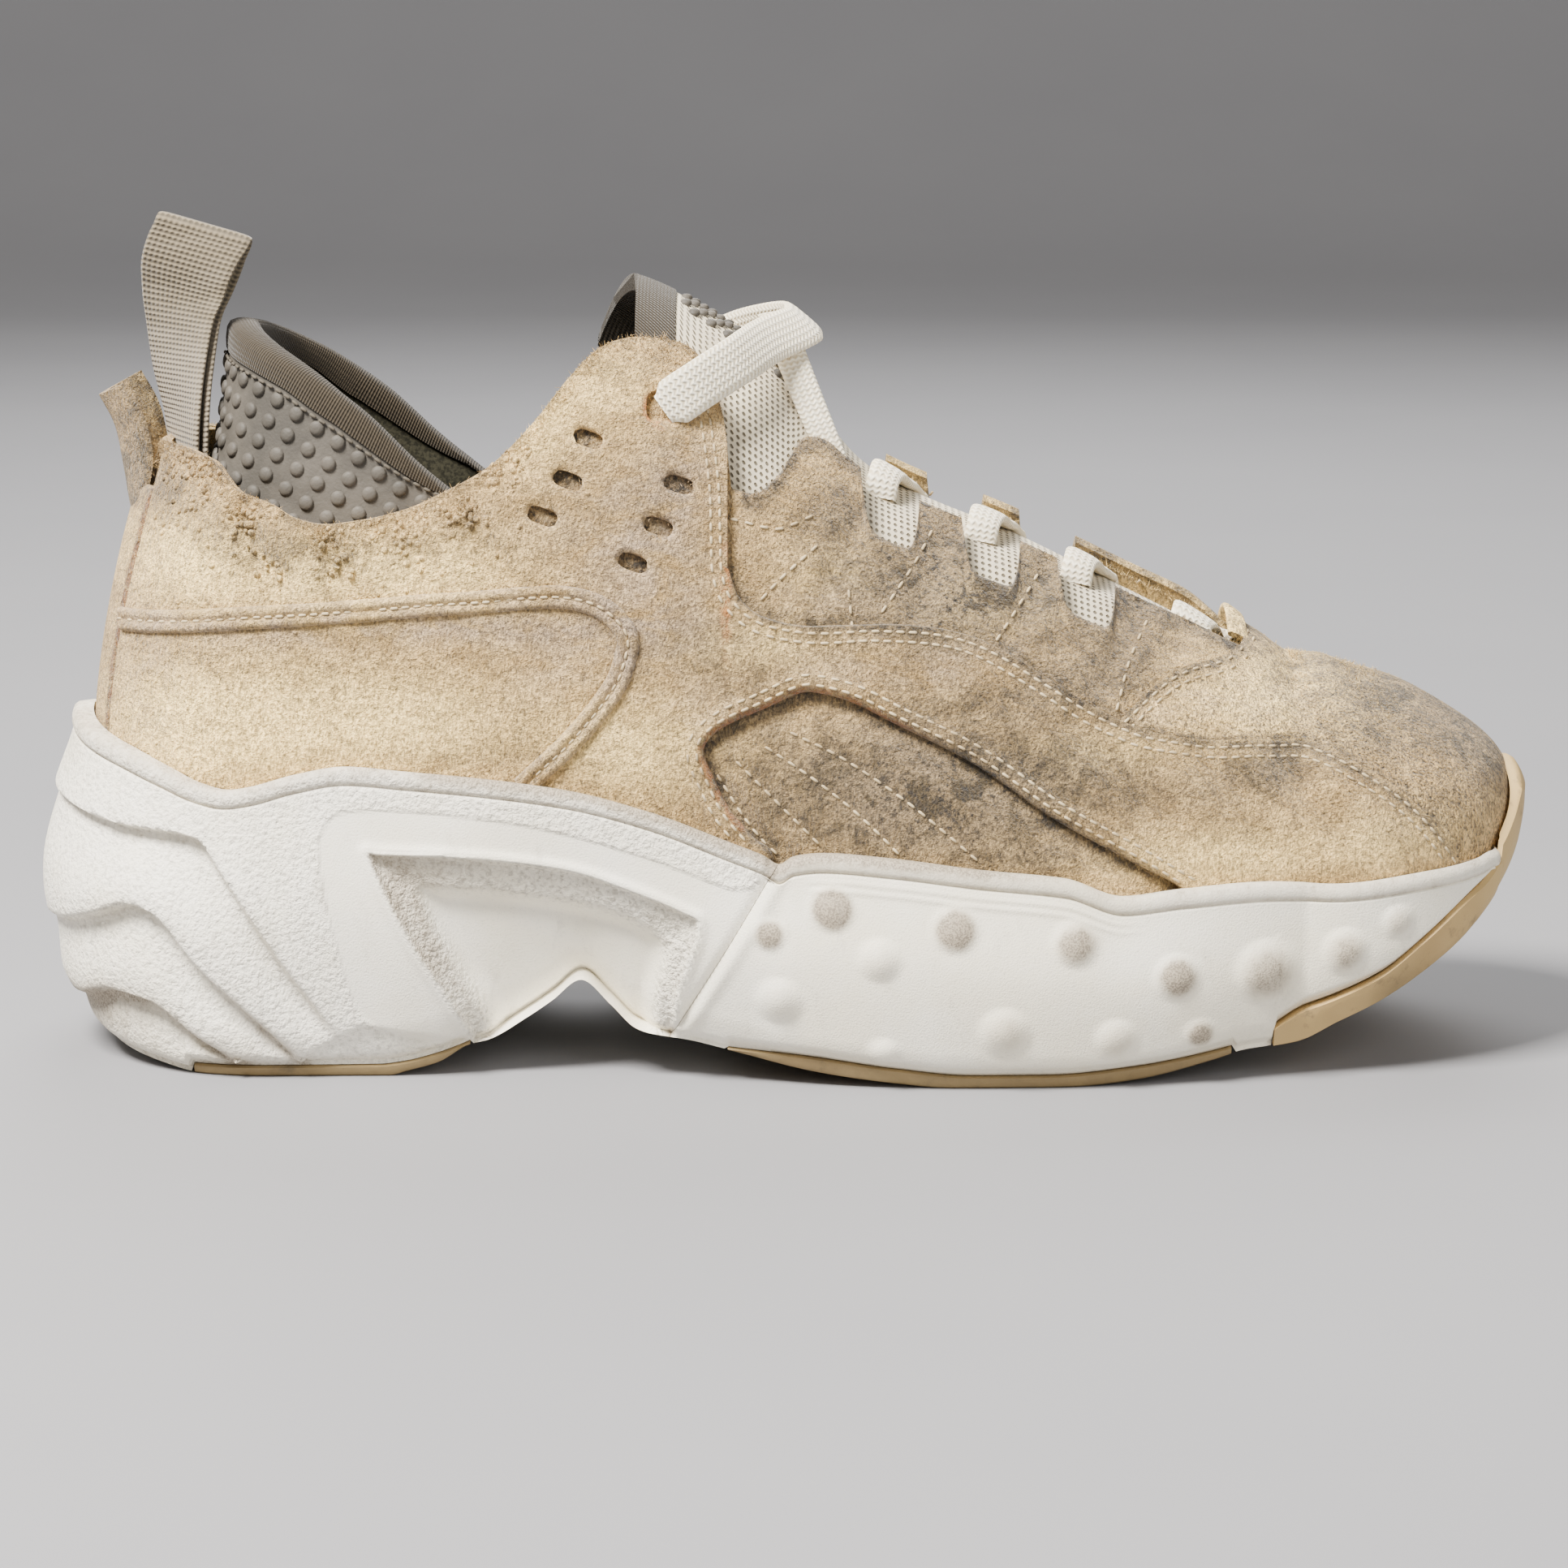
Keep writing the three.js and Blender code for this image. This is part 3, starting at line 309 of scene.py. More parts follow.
def row_for(along):
    """Table row of a length measured along the shoe's edge, toe tip 172.5 to heel -172.5."""
    return np.interp(-np.asarray(along, float), -ALONG_STEPS, ROW_STEPS)


def bell(gap, width):
    """One where the gap is nothing, fading out over a width."""
    return np.exp(-(gap / width) ** 2)


def ease(value, low, high):
    """From 0 to 1, with soft ends, as a value goes from low to high."""
    share = np.clip((value - low) / (high - low), 0, 1)
    return share * share * (3 - 2 * share)


def halve(low, high, rounds, short):
    """Closes in, by halving, on the place where a test stops falling short."""
    for _ in range(rounds):
        middle = (low + high) / 2
        falls = short(middle)
        low, high = np.where(falls, middle, low), np.where(falls, high, middle)
    return (low + high) / 2


class Foot:
    """Sections of the foot form at given lengths along the edge, on one side each."""

    def __init__(self, along, side):
        self.along, self.side = np.broadcast_arrays(np.asarray(along, float), np.asarray(side, float))
        self.row = row_for(self.along)
        value = {name: column(LAST_COLUMNS, LAST_ROWS, name, self.row) for name in LAST_COLUMNS}
        turn = np.radians(value["turn"])
        half = np.where(self.side < 0, value["lateral"], value["medial"])
        self.x, self.y = value["x"], value["middle"]
        self.dx, self.dy = np.cos(turn), self.side * np.sin(turn)
        self.r = (half, half + value["flare"], value["crown"])
        self.z = (value["floor"], value["wall_z"], value["ridge"] - value["drop"], value["ridge"])

    def curve(self, t):
        """Half width and height of the wall, from its foot at 0 to the ridge at 1."""
        a, b, c, d = (1 - t) ** 3, 3 * (1 - t) ** 2 * t, 3 * (1 - t) * t * t, t ** 3
        r = a * self.r[0] + b * self.r[1] + c * self.r[2]
        return r, a * self.z[0] + b * self.z[1] + c * self.z[2] + d * self.z[3]

    def x_at(self, r):
        return self.x + self.dx * r

    def reach(self, points):
        """How far points lie from the middle of their sections, in plan."""
        return np.hypot(points[..., 0] - self.x, points[..., 1] - self.y)

    def place(self, r, z):
        """Points at a distance from the middle of each section and at a height."""
        return np.stack(np.broadcast_arrays(self.x_at(r), self.y + self.dy * r, z), axis=-1)

    def wall(self, t, offset=0.0):
        """Points of the wall, standing off it by an offset."""
        t = np.asarray(t, float)
        a, b, c = 3 * (1 - t) ** 2, 6 * (1 - t) * t, 3 * t * t
        dr = a * (self.r[1] - self.r[0]) + b * (self.r[2] - self.r[1]) - c * self.r[2]
        dz = a * (self.z[1] - self.z[0]) + b * (self.z[2] - self.z[1]) + c * (self.z[3] - self.z[2])
        length = np.maximum(np.hypot(dr, dz), 1e-9)
        r, z = self.curve(t)
        ridge = t > 0.99999
        out_r = np.where(ridge, 0.0, dz / length)
        out_z = np.where(ridge, 1.0, -dr / length)
        return self.place(r + out_r * offset, z + out_z * offset)

    def t_at(self, target, height=True, low=0.0, high=1.0):
        """Where the wall reaches a height, or a half width in its upper part."""
        shape = np.shape(self.along)

        def short(t):
            r, z = self.curve(t)
            return z < target if height else r > target

        return halve(np.full(shape, low), np.full(shape, high), 34, short)


def sole_radius(row, side, share):
    """Half width of the sole at a share of the height of its wall."""
    *levels, less = (column(SOLE_COLUMNS, SOLE_ROWS, name, row) for name in SOLE_COLUMNS)
    knots = (0.0, 0.2, 0.55, 1.0)
    rise = [(levels[k + 1] - levels[k]) / (knots[k + 1] - knots[k]) for k in range(3)]
    slopes = (rise[0], between(rise[0], rise[1]), between(rise[1], rise[2]), rise[2])
    share = np.clip(share, 0, 1)
    radius = np.zeros(np.broadcast(row, share).shape)
    for k in range(3):
        span = knots[k + 1] - knots[k]
        at = (share - knots[k]) / span
        value = bridge(at, span, levels[k], levels[k + 1], slopes[k], slopes[k + 1])
        radius = np.where((share >= knots[k]) & (share <= knots[k + 1]), value, radius)
    return radius - np.where(side > 0, less, 0)


def nearest_on(start, end, x, z):
    """The nearest point of a straight line between two points in the side view."""
    run, rise = end[0] - start[0], end[1] - start[1]
    share = np.clip(((x - start[0]) * run + (z - start[1]) * rise) / (run ** 2 + rise ** 2), 0, 1)
    return start[0] + share * run, start[1] + share * rise


def outline_distance(outline, x, z):
    """Distance to a closed outline in the side view, negative inside it."""
    points = np.asarray(outline, float)
    nearest = np.full(np.shape(x), 1e9)
    inside = np.zeros(np.shape(x), bool)
    for start, end in zip(points, np.roll(points, -1, axis=0)):
        near_x, near_z = nearest_on(start, end, x, z)
        nearest = np.minimum(nearest, np.hypot(x - near_x, z - near_z))
        rise = np.where(end[1] == start[1], 1e-9, end[1] - start[1])
        crosses = (start[1] > z) != (end[1] > z)
        inside ^= crosses & (x < start[0] + (z - start[1]) * (end[0] - start[0]) / rise)
    return np.where(inside, -nearest, nearest)


def spline(before, start, end, after, share):
    """Points between two others on a smooth curve that goes on through one more at either side."""
    bend = 2 * before - 5 * start + 4 * end - after
    twist = 3 * start - before - 3 * end + after
    return 0.5 * (2 * start + (end - before) * share + bend * share ** 2 + twist * share ** 3)


def round_outline(outline, steps=8):
    """A closed outline with its corners rounded by a spline."""
    points = np.asarray(outline, float)
    shares = np.arange(steps)[:, None, None] / steps
    made = spline(*(np.roll(points, turn, 0) for turn in (1, 0, -1, -2)), shares)
    return made.transpose(1, 0, 2).reshape(-1, 2)


def tier_relief(along, z, bottom):
    """Heel tiers: each steps in under its line and swells out again below it."""
    fade = ease(-along, 86, 100) * (1 - 0.5 * ease(-along, 135, 165))
    relief = np.zeros(np.shape(z))
    lines = [np.maximum(smooth(line, along), bottom) for line in TIERS] + [bottom]
    slopes = [(smooth(line, along + 1.0) - smooth(line, along - 1.0)) / 2 for line in TIERS]
    relief += 0.8 * (1 - ease(z - lines[0], 0, 12)) * (z >= lines[0])
    for top, below, slope in zip(lines, lines[1:], slopes):
        share = (top - z) / np.maximum(top - below, 0.01)
        step = ease((top - z) / np.sqrt(1 + slope ** 2), 0.0, 1.4)
        swell = -2.3 * step + 3.1 * ease(share, 0.12, 0.92) + 0.8 * (1 - step)
        relief = np.where((z < top) & (z >= below), swell, relief)
    return relief * fade


# Blisters on the foam: x, height, radius, stain
BLISTERS = (
    (9.5, 37.5, 5.2, 1.15), (-3, 32, 3.8, 0.95), (34, 33.5, 5.2, 1.1), (58, 30.5, 5.2, 0.85),
    (78.5, 23, 5.2, 0.95), (97, 23, 7.2, 0.7), (113, 26.5, 5.2, 0.65), (124, 32, 3.8, 0.5),
    (19, 27.5, 4.8, 0.4), (20, 8, 3.6, 0.2), (-1, 18.5, 5.2, 0.35), (44, 12.5, 5.6, 0.48),
    (66.5, 10.5, 4.8, 0.45), (83.5, 11, 3.6, 0.9),
)
BEVEL = ((-101, 3), (-92, 8), (-84, 11.5), (-76, 10), (-63, 8))
SMOOTH_PANEL = (
    (-93, 46), (-91.5, 53), (-86, 55.5), (-70, 55), (-50, 52.5), (-30, 47.5), (-12, 41), (-6, 38), (-24, 8),
    (-60, 6), (-83, 12), (-90, 30),
)


def joint_distance(x, z):
    """Distance from the groove between the blocks in the side view, positive on the forefoot."""
    run, rise = JOINT_TOP[0] - JOINT_FOOT[0], JOINT_TOP[1] - JOINT_FOOT[1]
    return ((x - JOINT_FOOT[0]) * rise - (z - JOINT_FOOT[1]) * run) / math.hypot(run, rise)


def foam_relief(along, x, z, bottom):
    """Relief of the foam's wall: tiers, arch, groove, bevel, ridges under the lip and blisters."""
    relief = tier_relief(along, z, bottom)
    frame_gap = outline_distance(ARCH_CURVE, x, z)
    scoop_gap = outline_distance(SCOOP_CURVE, x, z)
    relief -= 1.3 * ease(-frame_gap, 0.0, 1.1) + 1.6 * ease(-frame_gap, 0.8, 6.5)
    relief += 0.75 * bell(frame_gap - 0.5, 1.0)
    relief -= (ARCH_SCOOP - ARCH_RECESS) * ease(-scoop_gap, -0.6, 4.5)
    groove = joint_distance(x, z)
    relief += 0.6 * bell(groove - 2.0, 1.2) - 0.9 * bell(groove, 0.8)
    bevel = smooth(BEVEL, x)
    relief -= 0.9 * ease(bevel - z, 0.0, 1.4) * ease(x, -101, -97) * (1 - ease(x, -66, -62))
    ridge = z - smooth(RIM, along) + LIP
    fore = ease(x, 3, 8) * (1 - ease(x, 60, 74))
    for depth in (1.4, 3.0):
        relief += 0.3 * bell(ridge + depth, 0.55) * fore
    for blister_x, blister_z, radius, _ in BLISTERS:
        gap = np.hypot(x - blister_x, z - blister_z) / radius
        relief += 0.29 * radius * np.clip(1 - gap * gap, 0, 1) ** 1.4
    return relief


ARCH_CURVE = round_outline(ARCH_OUTLINE)
SCOOP_CURVE = round_outline(SCOOP_OUTLINE)
SMOOTH_CURVE = round_outline(SMOOTH_PANEL)


def foam_profile(along, side, wall_levels):
    """Closed profiles of the foam, from the spine underneath round the wall to the spine above."""
    along, side = along[:, None], side[:, None]
    foot = Foot(along, side)
    spine = Foot(np.clip(along, -FAN, FAN), side)
    rim = np.minimum(smooth(RIM, along), np.where(along > 100, FOAM_RIM, 99))
    reach = np.where(foot.dx > 0.05, (FOAM_NOSE - foot.x) / np.maximum(foot.dx, 0.05), 999)

    def underside(r):
        """Height of the foam's underside, which is thinner where a gum sheet lies."""
        x = foot.x_at(r)
        bottom = smooth(GROUND, x)
        for start, end in TREADS:
            inside = ease(x, start - 0.2, start + 0.2) * (1 - ease(x, end - 0.2, end + 0.2))
            bottom = np.maximum(bottom, inside * smooth(TREAD_TOP, x))
        return np.minimum(bottom, rim - 1.2)

    base = np.minimum(sole_radius(foot.row, side, 0), reach)
    ground = smooth(GROUND, foot.x_at(sole_radius(foot.row, side, 0)))
    top = rim - LIP
    under = [base * share for share in (0.0, 0.3, 0.6, 0.85)]
    under = np.concatenate(under + [base - 2.5, base - 1.0], axis=1)
    parts = [foot.place(under, underside(under))]
    low = underside(base) + 0.8
    share = np.linspace(0, 1, wall_levels)[None, :]
    z = low + (np.maximum(top, low + 0.4) - low) * share
    radius = sole_radius(foot.row, side, (z - ground) / np.maximum(top - ground, 1))
    x = foot.x_at(radius)
    tuck = 1.6 * (1 - ease(z - low, 0, 2.4)) ** 2
    wall = np.minimum(radius + foam_relief(along, x, z, low + 0.5) - tuck, reach)
    parts.append(foot.place(wall, z))
    lip = np.minimum(sole_radius(foot.row, side, 1), reach)
    band = np.array([(-0.1, 0.1), (-0.35, 0.4), (0.1, 0.7), (0.3, 1.4), (0.3, 2.4), (-0.1, 3.3), (-0.9, 3.9)])
    parts.append(foot.place(lip + band[:, 0], top + band[:, 1]))
    rim_t = foot.t_at(rim - 0.4)
    inner = foot.wall(rim_t * np.linspace(1, 0, 7)[None, :], HOLLOW)
    inner_reach = np.minimum(foot.reach(inner), lip - 0.9)
    parts.append(foot.place(inner_reach, inner[..., 2]))
    parts.append(spine.place(0.0, spine.z[0] - HOLLOW * 0.2))
    profile = np.concatenate(parts, axis=1)
    profile[:, 0, 2] = smooth(GROUND, profile[:, 0, 0])
    for start, end in TREADS:
        inside = (profile[:, 0, 0] > start) & (profile[:, 0, 0] < end)
        profile[inside, 0, 2] = smooth(TREAD_TOP, profile[inside, 0, 0])
    return profile


def round_trip(stations, closed=True):
    """Stations out on the lateral side and back on the medial one, short of the first if closed."""
    back = stations[-2:0:-1] if closed else stations[-2::-1]
    side = np.concatenate([np.full(len(stations), LATERAL), np.full(len(back), MEDIAL)])
    return np.concatenate([stations, back]), side


def grid_faces(count, size, wrap_count=False, wrap_size=False):
    """Four-sided faces of a grid of points, joined up at its ends where it wraps."""
    i = np.arange(count if wrap_count else count - 1)[:, None]
    j = np.arange(size if wrap_size else size - 1)[None, :]
    across, up = (i + 1) % count, (j + 1) % size
    corners = [i * size + j, across * size + j, across * size + up, i * size + up]
    return np.stack(np.broadcast_arrays(*corners), axis=-1).reshape(-1, 4)


def add_piece(name, points, faces, material, nodes, masks=None, sharp=50, caps=()):
    """Makes one mesh object of points in millimetres and fits it to the frame."""
    mesh = bpy.data.meshes.new(name)
    polygons = faces.tolist() if isinstance(faces, np.ndarray) else list(faces)
    polygons += [list(cap) for cap in caps]
    mesh.from_pydata((np.asarray(points, float).reshape(-1, 3) * MM).tolist(), [], polygons)
    for mask, values in (masks or {}).items():
        layer = mesh.attributes.new(mask, "FLOAT", "POINT")
        spread = np.broadcast_to(values, np.shape(points)[:-1])
        layer.data.foreach_set("value", spread.astype(np.float32).ravel())
    work = bmesh.new()
    work.from_mesh(mesh)
    bmesh.ops.remove_doubles(work, verts=work.verts, dist=2e-6)
    bmesh.ops.recalc_face_normals(work, faces=work.faces)
    work.to_mesh(mesh)
    work.free()
    mesh.shade_smooth()
    mesh.set_sharp_from_angle(angle=math.radians(sharp))
    mesh.materials.append(material)
    piece = bpy.data.objects.new(name, mesh)
    bpy.context.collection.objects.link(piece)
    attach(piece, "root")
    if nodes:
        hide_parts(*nodes)
    return piece


def split_piece(piece, point, normal):
    """Keeps the part of a closed mesh behind a plane and closes the cut."""
    work = bmesh.new()
    work.from_mesh(piece.data)
    everything = work.verts[:] + work.edges[:] + work.faces[:]
    bmesh.ops.bisect_plane(work, geom=everything, plane_co=point, plane_no=normal, clear_outer=True)
    rim_edges = [edge for edge in work.edges if edge.is_boundary]
    bmesh.ops.contextual_create(work, geom=rim_edges)
    bmesh.ops.recalc_face_normals(work, faces=work.faces)
    work.to_mesh(piece.data)
    work.free()
    piece.data.set_sharp_from_angle(angle=math.radians(50))


def foam_material(name, shade, warm):
    """White foam, grained where it is stippled, with painted grain shadow, and grey with dirt and painted
    shade where the mask says.
    """
    material, wire, shader = new_material(name, Specular_IOR_Level=0.35)
    grain = wire.noise(950.0, 2.0, 0.6)
    fine = wire.noise(2600.0, 1.0)
    cloud = wire.noise(28.0, 4.0, 0.6)
    smear = wire.noise(150.0, 5.0, 0.7, stretch=(1, 1, 0.45))
    stipple, dirt_and_shade = wire.mask("stipple"), wire.mask("dirt_and_shade")
    colour = cloud.ramp(0.35, 0.65).mix(shade, warm)
    # The mask greys the foam with dirt and with painted shade; soot darkens the worst of it.
    grime_and_shade = (dirt_and_shade * (0.25 + 0.95 * smear + 0.35 * grain)).ramp(0.12, 0.95)
    # Painted grain shadow: the stippled grain is darkened in colour; fine grey specks lie over all the foam.
    speck = stipple * grain.ramp(0.48, 0.68) * 0.7 + fine.ramp(0.58, 0.74) * 0.22
    colour = speck.mix(colour, rgb(176, 171, 159))
    colour = (grime_and_shade * 0.9).mix(colour, rgb(166, 152, 132))
    soot = grime_and_shade.ramp(0.5, 1.0) * fine.ramp(0.4, 0.62) * 0.6
    colour = soot.mix(colour, rgb(104, 96, 86))
    streak = smear.ramp(0.56, 0.74) * 0.32
    colour = streak.mix(colour, rgb(178, 170, 156))
    height = stipple * grain * 2.2 + 0.2 * fine + 0.15 * smear
    dress(wire, shader, colour, 0.46 + 0.16 * stipple + 0.14 * grime_and_shade, height, 0.0006, 0.8)
    return material


foam_along = np.unique(np.concatenate([
    np.linspace(TIP, FAN, 90), np.linspace(FAN, -12, 130), np.linspace(-12, -FAN, 136),
    np.linspace(-FAN, -TIP, 84),
]))[::-1]
along, side = round_trip(foam_along)
WALL_LEVELS = 90
profile = foam_profile(along, side, WALL_LEVELS)
foam_x, foam_z = profile[..., 0], profile[..., 2]
joint = Vector((JOINT_TOP[1] - JOINT_FOOT[1], 0, JOINT_FOOT[0] - JOINT_TOP[0])).normalized()


def foam_masks(x, z):
    """Where the foam is stippled, where dirt has caught and where shade is painted under the tiers and in the
    arch frame.
    """
    lines = [smooth(line, along[:, None]) for line in TIERS]
    heel = 1 - ease(x, -96, -90)
    grained = ease(outline_distance(SMOOTH_CURVE, x, z), -0.4, 0.6)
    frame_gap = outline_distance(ARCH_CURVE, x, z)
    scoop_gap = outline_distance(SCOOP_CURVE, x, z)
    frame_band = ease(-frame_gap, -0.5, 0.5) * ease(scoop_gap, -3, 0.5)
    groove = joint_distance(x, z)
    stipple = np.clip(0.6 * grained + frame_band, 0, 1) * (groove < -2)
    # Darker towards the bottom of heel and arch; the sloping band inside the arch frame gets painted shade,
    # more at its rear.
    dirt_and_shade = 0.34 * ease(-z, -24, -2) * (1 - ease(x, -110, -60)) + 0.42 * frame_band
    dirt_and_shade += 0.35 * frame_band * (1 - ease(x, -80, -55))
    # Painted shade in the step under each heel tier.
    for line in lines:
        dirt_and_shade += 0.5 * bell(z - line + 1.4, 2.2) * heel
    rim = smooth(RIM, along[:, None])
    worn = 0.22 + 0.45 * ease(x, -78, -62) * (1 - ease(x, 30, 60))
    dirt_and_shade += worn * bell(z - rim + 0.4, 1.3) + 0.28 * bell(z - rim + LIP - 0.4, 0.6)
    dirt_and_shade += 0.44 * ease(z - rim, -LIP, -LIP + 0.6) + 0.4 * bell(groove, 0.7)
    dirt_and_shade += 0.5 * np.exp(-((x + 140) / 12) ** 2 - ((z - 12) / 7) ** 2)
    for blister_x, blister_z, radius, stain in BLISTERS:
        gap = np.hypot(x - blister_x, z - blister_z) / radius
        dirt_and_shade += 1.15 * stain * np.exp(-(gap / 0.82) ** 4)
    return {"stipple": stipple, "dirt_and_shade": np.clip(dirt_and_shade, 0, 1.2)}


masks = foam_masks(foam_x, foam_z)
faces = grid_faces(len(along), profile.shape[1], wrap_count=True)
heel_foam = foam_material("heel_foam", rgb(250, 245, 231), rgb(242, 235, 215))
fore_foam = foam_material("forefoot_foam", rgb(250, 245, 229), rgb(242, 234, 212))
joint_point = Vector((JOINT_FOOT[0], 0, JOINT_FOOT[1])) * MM
JOINT_GAP = 0.06 * MM
for node, foam, way in (("midsole_heel", heel_foam, 1), ("midsole_forefoot", fore_foam, -1)):
    block = add_piece(node + "_block", profile, faces, foam, [node], masks)
    split_piece(block, joint_point - joint * JOINT_GAP * way, joint * way)

# Gum tread and toe wrap
# A thin tan rubber sheet is glued under the heel and the forefoot, and a third one turns up over
# the front of the toe. They are smooth at the edge and scuffed underneath; dirt and painted shade darken the
# sheets under the foam.
OUTLINE_ALONG = np.linspace(-TIP, TIP, 700)
WRAP_START, WRAP_NOSE = 99.0, 147.2
WRAP_SHELF = 41.0

gum, wire, shader = new_material("gum_rubber", Specular_IOR_Level=0.45)
scuff = wire.noise(160.0, 5.0, 0.7)
blot = wire.noise(35.0, 3.0)
speck = wire.noise(900.0, 2.0)
tone = blot.ramp(0.35, 0.7).mix(rgb(196, 166, 112), rgb(176, 146, 96))
tone = (scuff.ramp(0.56, 0.72) * 0.7).mix(tone, rgb(126, 108, 82))
# The mask darkens the gum with dirt and, on the sheets under the foam, with painted shade.
tone = (wire.mask("dirt_and_shade") * (0.5 + 0.5 * scuff)).mix(tone, rgb(98, 86, 64))
dress(wire, shader, tone, 0.42 + 0.3 * scuff, scuff + 0.4 * speck, 0.0003, 0.5)


def base_outline(side):
    """The bottom edge of the sole in plan, on one side."""
    row = row_for(OUTLINE_ALONG)
    foot = Foot(OUTLINE_ALONG, side)
    edge = foot.place(sole_radius(row, foot.side, 0.0), 0.0)
    return edge[:, 0], edge[:, 1]


def add_loft(name, loops, material, node, masks):
    """Adds a piece made of closed loops, one after another, capped at both ends."""
    count, size = loops.shape[:2]
    faces = grid_faces(count, size, wrap_size=True)
    caps = [range(size), range((count - 1) * size, count * size)]
    return add_piece(name, loops, faces, material, [node], masks, caps=caps)


def tread_sheet(start, end):
    """A rubber sheet under the foam between two stations, as wide as the foam's bottom edge."""
    xs = np.concatenate([[start + 0.15], np.linspace(start + 0.6, end - 0.6, 90), [end - 0.15]])
    edges = [np.interp(xs, *base_outline(side)) for side in (LATERAL, MEDIAL)]
    low, high = smooth(GROUND, xs), smooth(TREAD_TOP, xs) - 0.15
    across = np.linspace(0, 1, 15)[None, :]
    rings = []
    for inset, z in ((0.7, low), (0.1, low + 0.5), (0.0, high - 0.3), (0.5, high)):
        left, right = edges[0][:, None] + inset, edges[1][:, None] - inset
        y = left + (right - left) * across
        rings.append(np.stack(np.broadcast_arrays(xs[:, None], y, z[:, None]), axis=-1))
    ring = [rings[0], rings[1][:, -1:], rings[2][:, -1:], rings[3][:, ::-1], rings[2][:, :1], rings[1][:, :1]]
    return np.concatenate(ring, axis=1)


# The tread sheets are darkened all over: dirt, and painted shade where they lie under the foam.
for node, start, end in (("outsole_heel", -120, -63.5), ("outsole_forefoot", -11.5, 90.5)):
    add_loft(node + "_sheet", tread_sheet(start, end), gum, node, {"dirt_and_shade": 0.85})


def toe_bulge(along, z):
    """The swelling of the toe just above the foam."""
    return 2.2 * ease(along, 124, 158) * bell(z - 57, 9)


def toe_wrap():
    """The gum sheet that turns up round the toe, from one arm to the other."""
    along, side = (row[:, None] for row in round_trip(np.linspace(WRAP_START, TIP, 110), closed=False))
    foot = Foot(along, side)
    base, lip = sole_radius(foot.row, side, 0.0), sole_radius(foot.row, side, 1.0)
    rim = smooth(RIM, along)
    edge_x = foot.x_at(lip)
    shelf = smooth(TREAD_TOP, edge_x) - 0.2
    top = np.where(edge_x < WRAP_NOSE, np.minimum(shelf, rim), rim)
    top = np.where(edge_x < WRAP_NOSE, top, np.maximum(top, WRAP_SHELF))
    under = base * np.array([0.0, 0.35, 0.65, 0.85, 0.95])[None, :]
    parts = [foot.place(under, smooth(GROUND, foot.x_at(under)))]
    ground = smooth(GROUND, foot.x_at(base))
    levels = np.concatenate([[0.0, 0.03], np.linspace(0.08, 0.94, 16), [0.985]])[None, :]
    z = ground + (top - ground) * levels
    tall = np.maximum(np.maximum(rim - LIP, top) - ground, 1)
    outer = sole_radius(foot.row, side, (z - ground) / tall) + 0.25
    hold = foot.wall(foot.t_at(z), HOLLOW + toe_bulge(along, z))
    hold_r = foot.reach(hold)
    outer = np.where(z > 43.5, np.minimum(outer, hold_r + 2.3 + 3.2 * (1 - ease(z, 43.5, 51))), outer)
    outer[:, :1] -= 0.5
    outer[:, -1:] -= 0.7
    parts.append(foot.place(outer, z))
    drop = np.linspace(0, 1, 8)[None, :]
    inner_z = top + (np.minimum(top, WRAP_SHELF) - top) * drop
    form = foot.wall(foot.t_at(inner_z), HOLLOW + toe_bulge(along, inner_z))
    form_r = foot.reach(form)
    nose = (WRAP_NOSE - foot.x) / np.maximum(foot.dx, 0.05)
    outside = sole_radius(foot.row, side, (inner_z - ground) / tall)
    hug = ease(inner_z, 43.5, 47.5)
    inner = np.minimum(np.maximum(form_r, nose) * (1 - hug) + form_r * hug, outside - 0.8)
    parts.append(foot.place(inner, inner_z))
    back = inner[:, -1:] * np.array([0.92, 0.8, 0.6, 0.35, 0.0])[None, :]
    back_z = np.minimum(smooth(TREAD_TOP, foot.x_at(back)) - 0.2, inner_z[:, -1:])
    parts.append(foot.place(back, back_z))
    loop = np.concatenate(parts, axis=1)
    count, size = loop.shape[:2]
    cap = list(range(size)) + [(count - 1) * size + k for k in reversed(range(1, size - 1))]
    return loop, grid_faces(count, size), [cap]


points, faces, caps = toe_wrap()
wrap_x, wrap_z = points[..., 0], points[..., 2]
low_down = 1 - ease(wrap_z - smooth(GROUND, wrap_x), 1, 8)
masks = {"dirt_and_shade": 0.7 * bell(wrap_x - 124, 6) * low_down}
add_piece("outsole_toe_wrap_sheet", points, faces, gum, ["outsole_toe_wrap"], masks, caps=caps)

# Insole
# A thin foam footbed covered with olive cloth lies loose inside the upper, on top of the foam
# blocks; it is trimmed a little narrower than the shell so that it can be lifted out.
INSOLE_INSET = 3.2
# Profile from the middle underneath to the middle on top: share of the half width, height
INSOLE_PROFILE = (
    (0.0, 0.2), (0.5, 0.2), (0.97, 0.2), (1.0, 0.9), (1.0, 3.2), (0.97, 4.0), (0.8, 4.2), (0.4, 4.1),
    (0.0, 4.0),
)
along, side = round_trip(np.linspace(TIP, -TIP, 140))
foot = Foot(along[:, None], side[:, None])
spine = Foot(np.clip(along, -FAN, FAN)[:, None], side[:, None])
edge_r = foot.r[0] - INSOLE_INSET
share, rise = np.array(INSOLE_PROFILE).T[:, None, :]
floor_z = spine.z[0] + (foot.z[0] - spine.z[0]) * share
points = foot.place(edge_r * share, floor_z + rise)
footbed, wire, shader = new_material("footbed_cloth", Specular_IOR_Level=0.15, Sheen_Weight=0.2)
weave = wire.noise(1300.0, 2.0)
tread = wire.noise(25.0, 3.0)
tone = weave.ramp(0.35, 0.65).mix(rgb(78, 75, 60), rgb(112, 108, 88))
